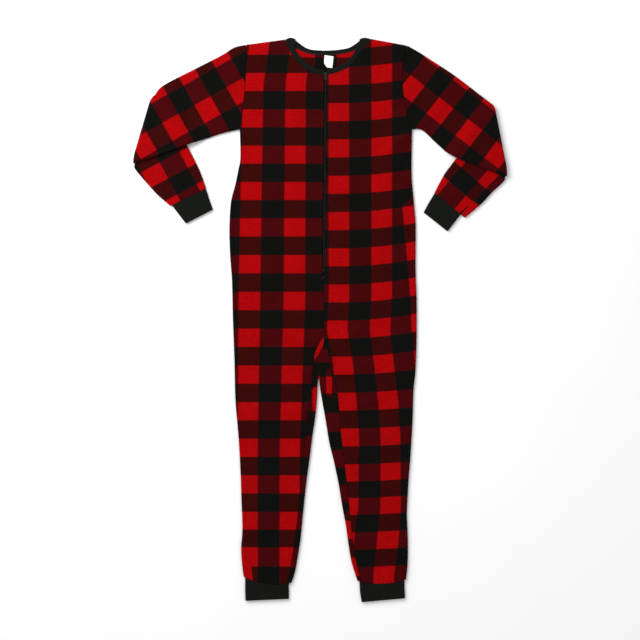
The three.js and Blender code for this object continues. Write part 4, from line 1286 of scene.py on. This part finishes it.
def zipTape(name, outward):
    z = zipSizes
    y = np.arange(z["bottom"], z["top"] + 0.1, 2.0)
    inner = 0.15 + 1.6 * smoothstep(y, z["coilEnd"], z["coilEnd"] + 4)
    across = np.linspace(0, 1, 8)
    distance = lerp(inner[:, None], garment["zipHalfOpening"] + z["tapeHidden"], across)
    cord = z["cord"] * np.exp(-((distance - z["cordPlace"]) / 0.5) ** 2)
    x = middleAt(y)[:, None] + outward * distance
    height = z["tapeFloor"] + z["tapeThickness"] + cord - z["cord"]
    cloth = Cloth()
    cloth.add(together(x, y[:, None], height), together(distance, np.broadcast_to(y[:, None], x.shape)))
    return cloth.make(name, "tape", z["tapeThickness"] - z["cord"])


def beads(name, centres, directions, length, radius, flatness, finish, sides=6):
    # short rounded rods, such as zip teeth or stitches, joined into one mesh
    shares = np.array([-0.5, -0.42, 0.42, 0.5])
    widths = np.array([0.45, 1.0, 1.0, 0.45])
    angle = np.arange(sides) * 2 * math.pi / sides
    count = len(centres)
    aside = np.stack([-directions[:, 1], directions[:, 0], np.zeros(count)], axis=1)
    up = np.cross(directions, aside)
    cos, sin = np.cos(angle)[:, None], np.sin(angle)[:, None]
    ring = (aside[:, None] * cos + up[:, None] * sin * flatness) * radius
    spine = centres[:, None] + directions[:, None] * shares[:, None] * length
    points = spine[:, :, None] + ring[:, None] * widths[:, None, None]
    index = np.arange(count * 4 * sides).reshape(count, 4, sides)
    following = np.roll(index, -1, axis=2)
    corners = [index[:, :-1], following[:, :-1], following[:, 1:], index[:, 1:]]
    quads = np.stack(corners, axis=-1).reshape(-1, 4)
    faces = quads.tolist() + index[:, 0, ::-1].tolist() + index[:, 3].tolist()
    mesh = bpy.data.meshes.new(name)
    mesh.from_pydata((points.reshape(-1, 3) * millimetre).tolist(), [], faces)
    mesh.validate()
    return dressed(name, mesh, finish)


def zipCoil(name, outward):
    z = zipSizes
    shift = 0 if outward > 0 else z["coilPitch"] / 2
    y = np.arange(z["stopY"] + 3 + shift, z["coilEnd"], z["coilPitch"])
    reach = z["toothReach"]
    centres = together(middleAt(y) + outward * (reach / 2 - 0.35), y, z["coilZ"])
    directions = np.tile([outward, 0.12, 0.0], (len(y), 1))
    directions /= np.linalg.norm(directions, axis=1, keepdims=True)
    return beads(name, centres, directions, reach, z["coilRadius"], 1.0, "coil")


tapes = {"Right": zipTape("zipTapeRight", -1), "Left": zipTape("zipTapeLeft", 1)}
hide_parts("zip_tape_right")
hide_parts("zip_tape_left")
coils = {"Right": zipCoil("zipCoilRight", -1), "Left": zipCoil("zipCoilLeft", 1)}

for node in ("zip_slider", "zip_pull", "zip_stop"):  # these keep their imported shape
    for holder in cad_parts[node].material_slots:
        holder.material = finishes["metal"]
print("zip made")


# Blank label inside the back of the neck

labelSizes = {
    "top": np.array([(11.5, 661.5), (34, 658.5)]),
    "low": np.array([(9.5, 632), (31, 629)]),
    "z": 3.1,
    "thickness": 0.4,
    "cloth": (22, 30),  # its own width and length
    "turnedBy": (4.5, 3.5),  # how far its lower corner has moved inwards and up
}


def blankLabel():
    size = labelSizes
    u = np.linspace(0, 1, 16)
    v = np.linspace(0, 1, 20)[:, None]
    upper = lerp(*size["top"], u[:, None])
    lower = lerp(*size["low"], u[:, None])
    plan = upper[None] + (lower - upper)[None] * v[..., None]
    curl = 0.5 * v ** 3 * (0.4 + 0.6 * np.sin(u * math.pi * 1.3 + 0.4)) + 0.12 * np.sin(v * 9 + u * 2)
    turned = np.clip(1 - u / 0.45, 0, 1) * np.clip((v - 0.6) / 0.4, 0, 1)
    plan = plan + turned[..., None] ** 1.5 * size["turnedBy"]
    cloth = Cloth()
    points = together(plan[..., 0], plan[..., 1], size["z"] + curl + turned * 1.2)
    cloth.add(points, together(u * size["cloth"][0], v * size["cloth"][1]))
    return cloth.make("blankLabel", "label", size["thickness"])


label = blankLabel()
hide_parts("label")
print("label made")


# Sewing that shows

topstitch = {
    "pitch": 3.2, "length": 2.5, "radius": 0.32, "flatness": 0.7, "sides": 5,
    "raised": 0.1,  # above the cloth
    "besideNeck": 4.2,
    "neckRun": (0.12, 1.35),  # rows of the neckline's table that it leaves free at both ends
}


def stitchRow(name, plan, heightAt):  # stitches along a line of places on the cloth
    size = topstitch
    path = np.array([(*place, heightAt(*place) + size["raised"]) for place in plan])
    steps = np.linalg.norm(np.diff(path, axis=0), axis=1)
    run = np.concatenate([[0], np.cumsum(steps)])
    at = np.arange(size["pitch"] / 2, run[-1], size["pitch"])

    def pathAt(distance):
        return np.stack([np.interp(distance, run, path[:, k]) for k in range(3)], axis=1)

    directions = pathAt(at + 0.5) - pathAt(at - 0.5)
    directions /= np.linalg.norm(directions, axis=1, keepdims=True)
    return beads(
        name, pathAt(at), directions, size["length"], size["radius"], size["flatness"], "thread",
        size["sides"],
    )


def surfaceOf(piece):  # finds the height of a piece's top at a place
    points = [vertex.co for vertex in piece.data.vertices]
    tree = BVHTree.FromPolygons(points, [polygon.vertices for polygon in piece.data.polygons])

    def heightAt(x, y):
        hit = tree.ray_cast(Vector((x * millimetre, y * millimetre, 0.1)), Vector((0, 0, -1)))[0]
        return hit.z / millimetre if hit else 2 * garment["half"]

    return heightAt


def zipTopstitch(name, side, heightAt):
    y = np.arange(garment["zipStart"][1] - 2, garment["frontNeckY"] - 4, 3.0)
    x = middleAt(y) + side["outward"] * (garment["zipHalfOpening"] + frontRows["stitchPlace"])
    return stitchRow(name, together(x, y), heightAt)


def neckTopstitch(name, side, heightAt):
    first, last = topstitch["neckRun"]
    line = splineAt(side["frontNeck"], np.linspace(first, len(side["frontNeck"]) - last, 60))
    return stitchRow(name, outside(line, topstitch["besideNeck"]), heightAt)


bartackSizes = {
    "top": 108.0, "pitch": 0.5, "stitches": 9, "length": 8.0, "radius": 0.33, "flatness": 0.8,
}


def bartack():  # the dense stitches that close the front below the zip
    size = bartackSizes
    y = size["top"] - size["pitch"] * np.arange(size["stitches"])
    centres = together(middleAt(y), y, 2 * garment["half"] + 0.2)
    directions = np.tile([1.0, 0.0, 0.0], (len(y), 1))
    return beads(
        "bartack", centres, directions, size["length"], size["radius"], size["flatness"],
        "thread",
    )


allowance = {
    "width": 6.0, "thickness": 0.8, "height": 4.4,
    "frontNeck": {"width": 4.0, "height": 5.4},
    "backNeck": {"width": 3.6, "height": 2.9},
    "wave": 0.15,
}


def seamAllowance(name, path, width=allowance["width"], height=allowance["height"]):
    # the overlocked edges of a seam, lying inside the garment
    line = np.array(path, float)
    ahead = np.gradient(line, axis=0)
    aside = np.stack([-ahead[:, 1], ahead[:, 0]], axis=1) / np.linalg.norm(ahead, axis=1, keepdims=True)
    across = np.linspace(-0.5, 0.5, 5) * width
    plan = line[:, None] + aside[:, None] * across[None, :, None]
    run = np.arange(len(line), dtype=float)[:, None] * 1.5
    wave = allowance["wave"] * np.sin(run * 2.1 + across)
    cloth = Cloth()
    cloth.add(together(plan[..., 0], plan[..., 1], height + wave), together(across, run))
    return cloth.make(name, "thread", allowance["thickness"])


def straightPath(a, b, inset, count=70):  # from a to b, stopping short of both
    a, b = np.array(a, float), np.array(b, float)
    short = inset / np.linalg.norm(b - a)
    return lerp(a, b, np.linspace(short, 1 - short, count)[:, None])


def ankleLine(side):  # the leg's curved end, stopping short of both its edges
    y = garment["ankleY"]
    x = np.linspace(smoothAt(side["legFold"], y), smoothAt(side["sideSeam"], y), 60)[3:-3]
    return together(x, y + ankleBend(side, x, y))


sewing = {"bartack": bartack()}
for name, side, sleeve, front in (
    ("Right", right, sleeveRight, frontRight), ("Left", left, sleeveLeft, frontLeft),
):
    heightAt = surfaceOf(front)
    sewing["zipTopstitch" + name] = zipTopstitch("zipTopstitch" + name, side, heightAt)
    sewing["neckTopstitch" + name] = neckTopstitch("neckTopstitch" + name, side, heightAt)
    wrist = sleeve["cuff"][0]
    seams = {
        "armholeSeam": (armholePoint(side, np.linspace(4, armholeLength(side) - 4, 90)), {}),
        "wristSeam": (straightPath(wrist[:2], wrist[2:], 4), {}),
        "ankleSeam": (ankleLine(side), {}),
        "frontNeckSeam": (neckline(side["frontNeck"], 90)[2:-4], allowance["frontNeck"]),
        "backNeckSeam": (neckline(side["backNeck"], 90)[:-4], allowance["backNeck"]),
    }
    for seam, (path, sizes) in seams.items():
        sewing[seam + name] = seamAllowance(seam + name, path, **sizes)
print("sewing made")
# Floor, light and camera

room = {
    "floorReach": 5.0,
    "floorZ": -0.0004,
    "floorTones": (colour(243, 243, 243), colour(247, 247, 247)),
    "glow": 0.55,
    "lamps": [("keyLight", (-1.5, 1.5, 1.9), 1.9, 78), ("fillLight", (1.6, -1.1, 2.6), 2.4, 18)],
    "shown": 1.6,  # metres across the picture
}


def studio():
    floorFinish = Finish("paleFloor", {"Roughness": 0.9, "Specular IOR Level": 0.1})
    tone = floorFinish.noise(3.0)
    floorFinish.feed(floorFinish.shader, {"Base Color": floorFinish.mix(tone, *room["floorTones"])})
    floorMesh = bpy.data.meshes.new("floor")
    corners = [(-1, -1), (1, -1), (1, 1), (-1, 1)]
    places = [(x * room["floorReach"], y * room["floorReach"], room["floorZ"]) for x, y in corners]
    floorMesh.from_pydata(places, [], [(0, 1, 2, 3)])
    floorMesh.materials.append(floorFinish.material)
    floor = bpy.data.objects.new("floor", floorMesh)
    bpy.context.scene.collection.objects.link(floor)

    world = bpy.data.worlds.new("softRoom")
    bpy.context.scene.world = world
    world.use_nodes = True
    background = world.node_tree.nodes["Background"]
    background.inputs["Color"].default_value = (1, 1, 1, 1)
    background.inputs["Strength"].default_value = room["glow"]
    for name, place, size, power in room["lamps"]:
        lamp = bpy.data.lights.new(name, "AREA")
        lamp.size = size
        lamp.energy = power
        holder = bpy.data.objects.new(name, lamp)
        holder.location = place
        holder.rotation_euler = (-holder.location).to_track_quat("-Z", "Y").to_euler()
        bpy.context.scene.collection.objects.link(holder)

    camera = bpy.data.cameras.new("camera")
    camera.lens = 100
    camera.sensor_width = 36
    viewer = bpy.data.objects.new("camera", camera)
    viewer.location = (0, 0, room["shown"] * camera.lens / camera.sensor_width)
    bpy.context.scene.collection.objects.link(viewer)
    bpy.context.scene.camera = viewer
    bpy.context.scene.view_settings.view_transform = "Standard"


studio()
print("studio made")
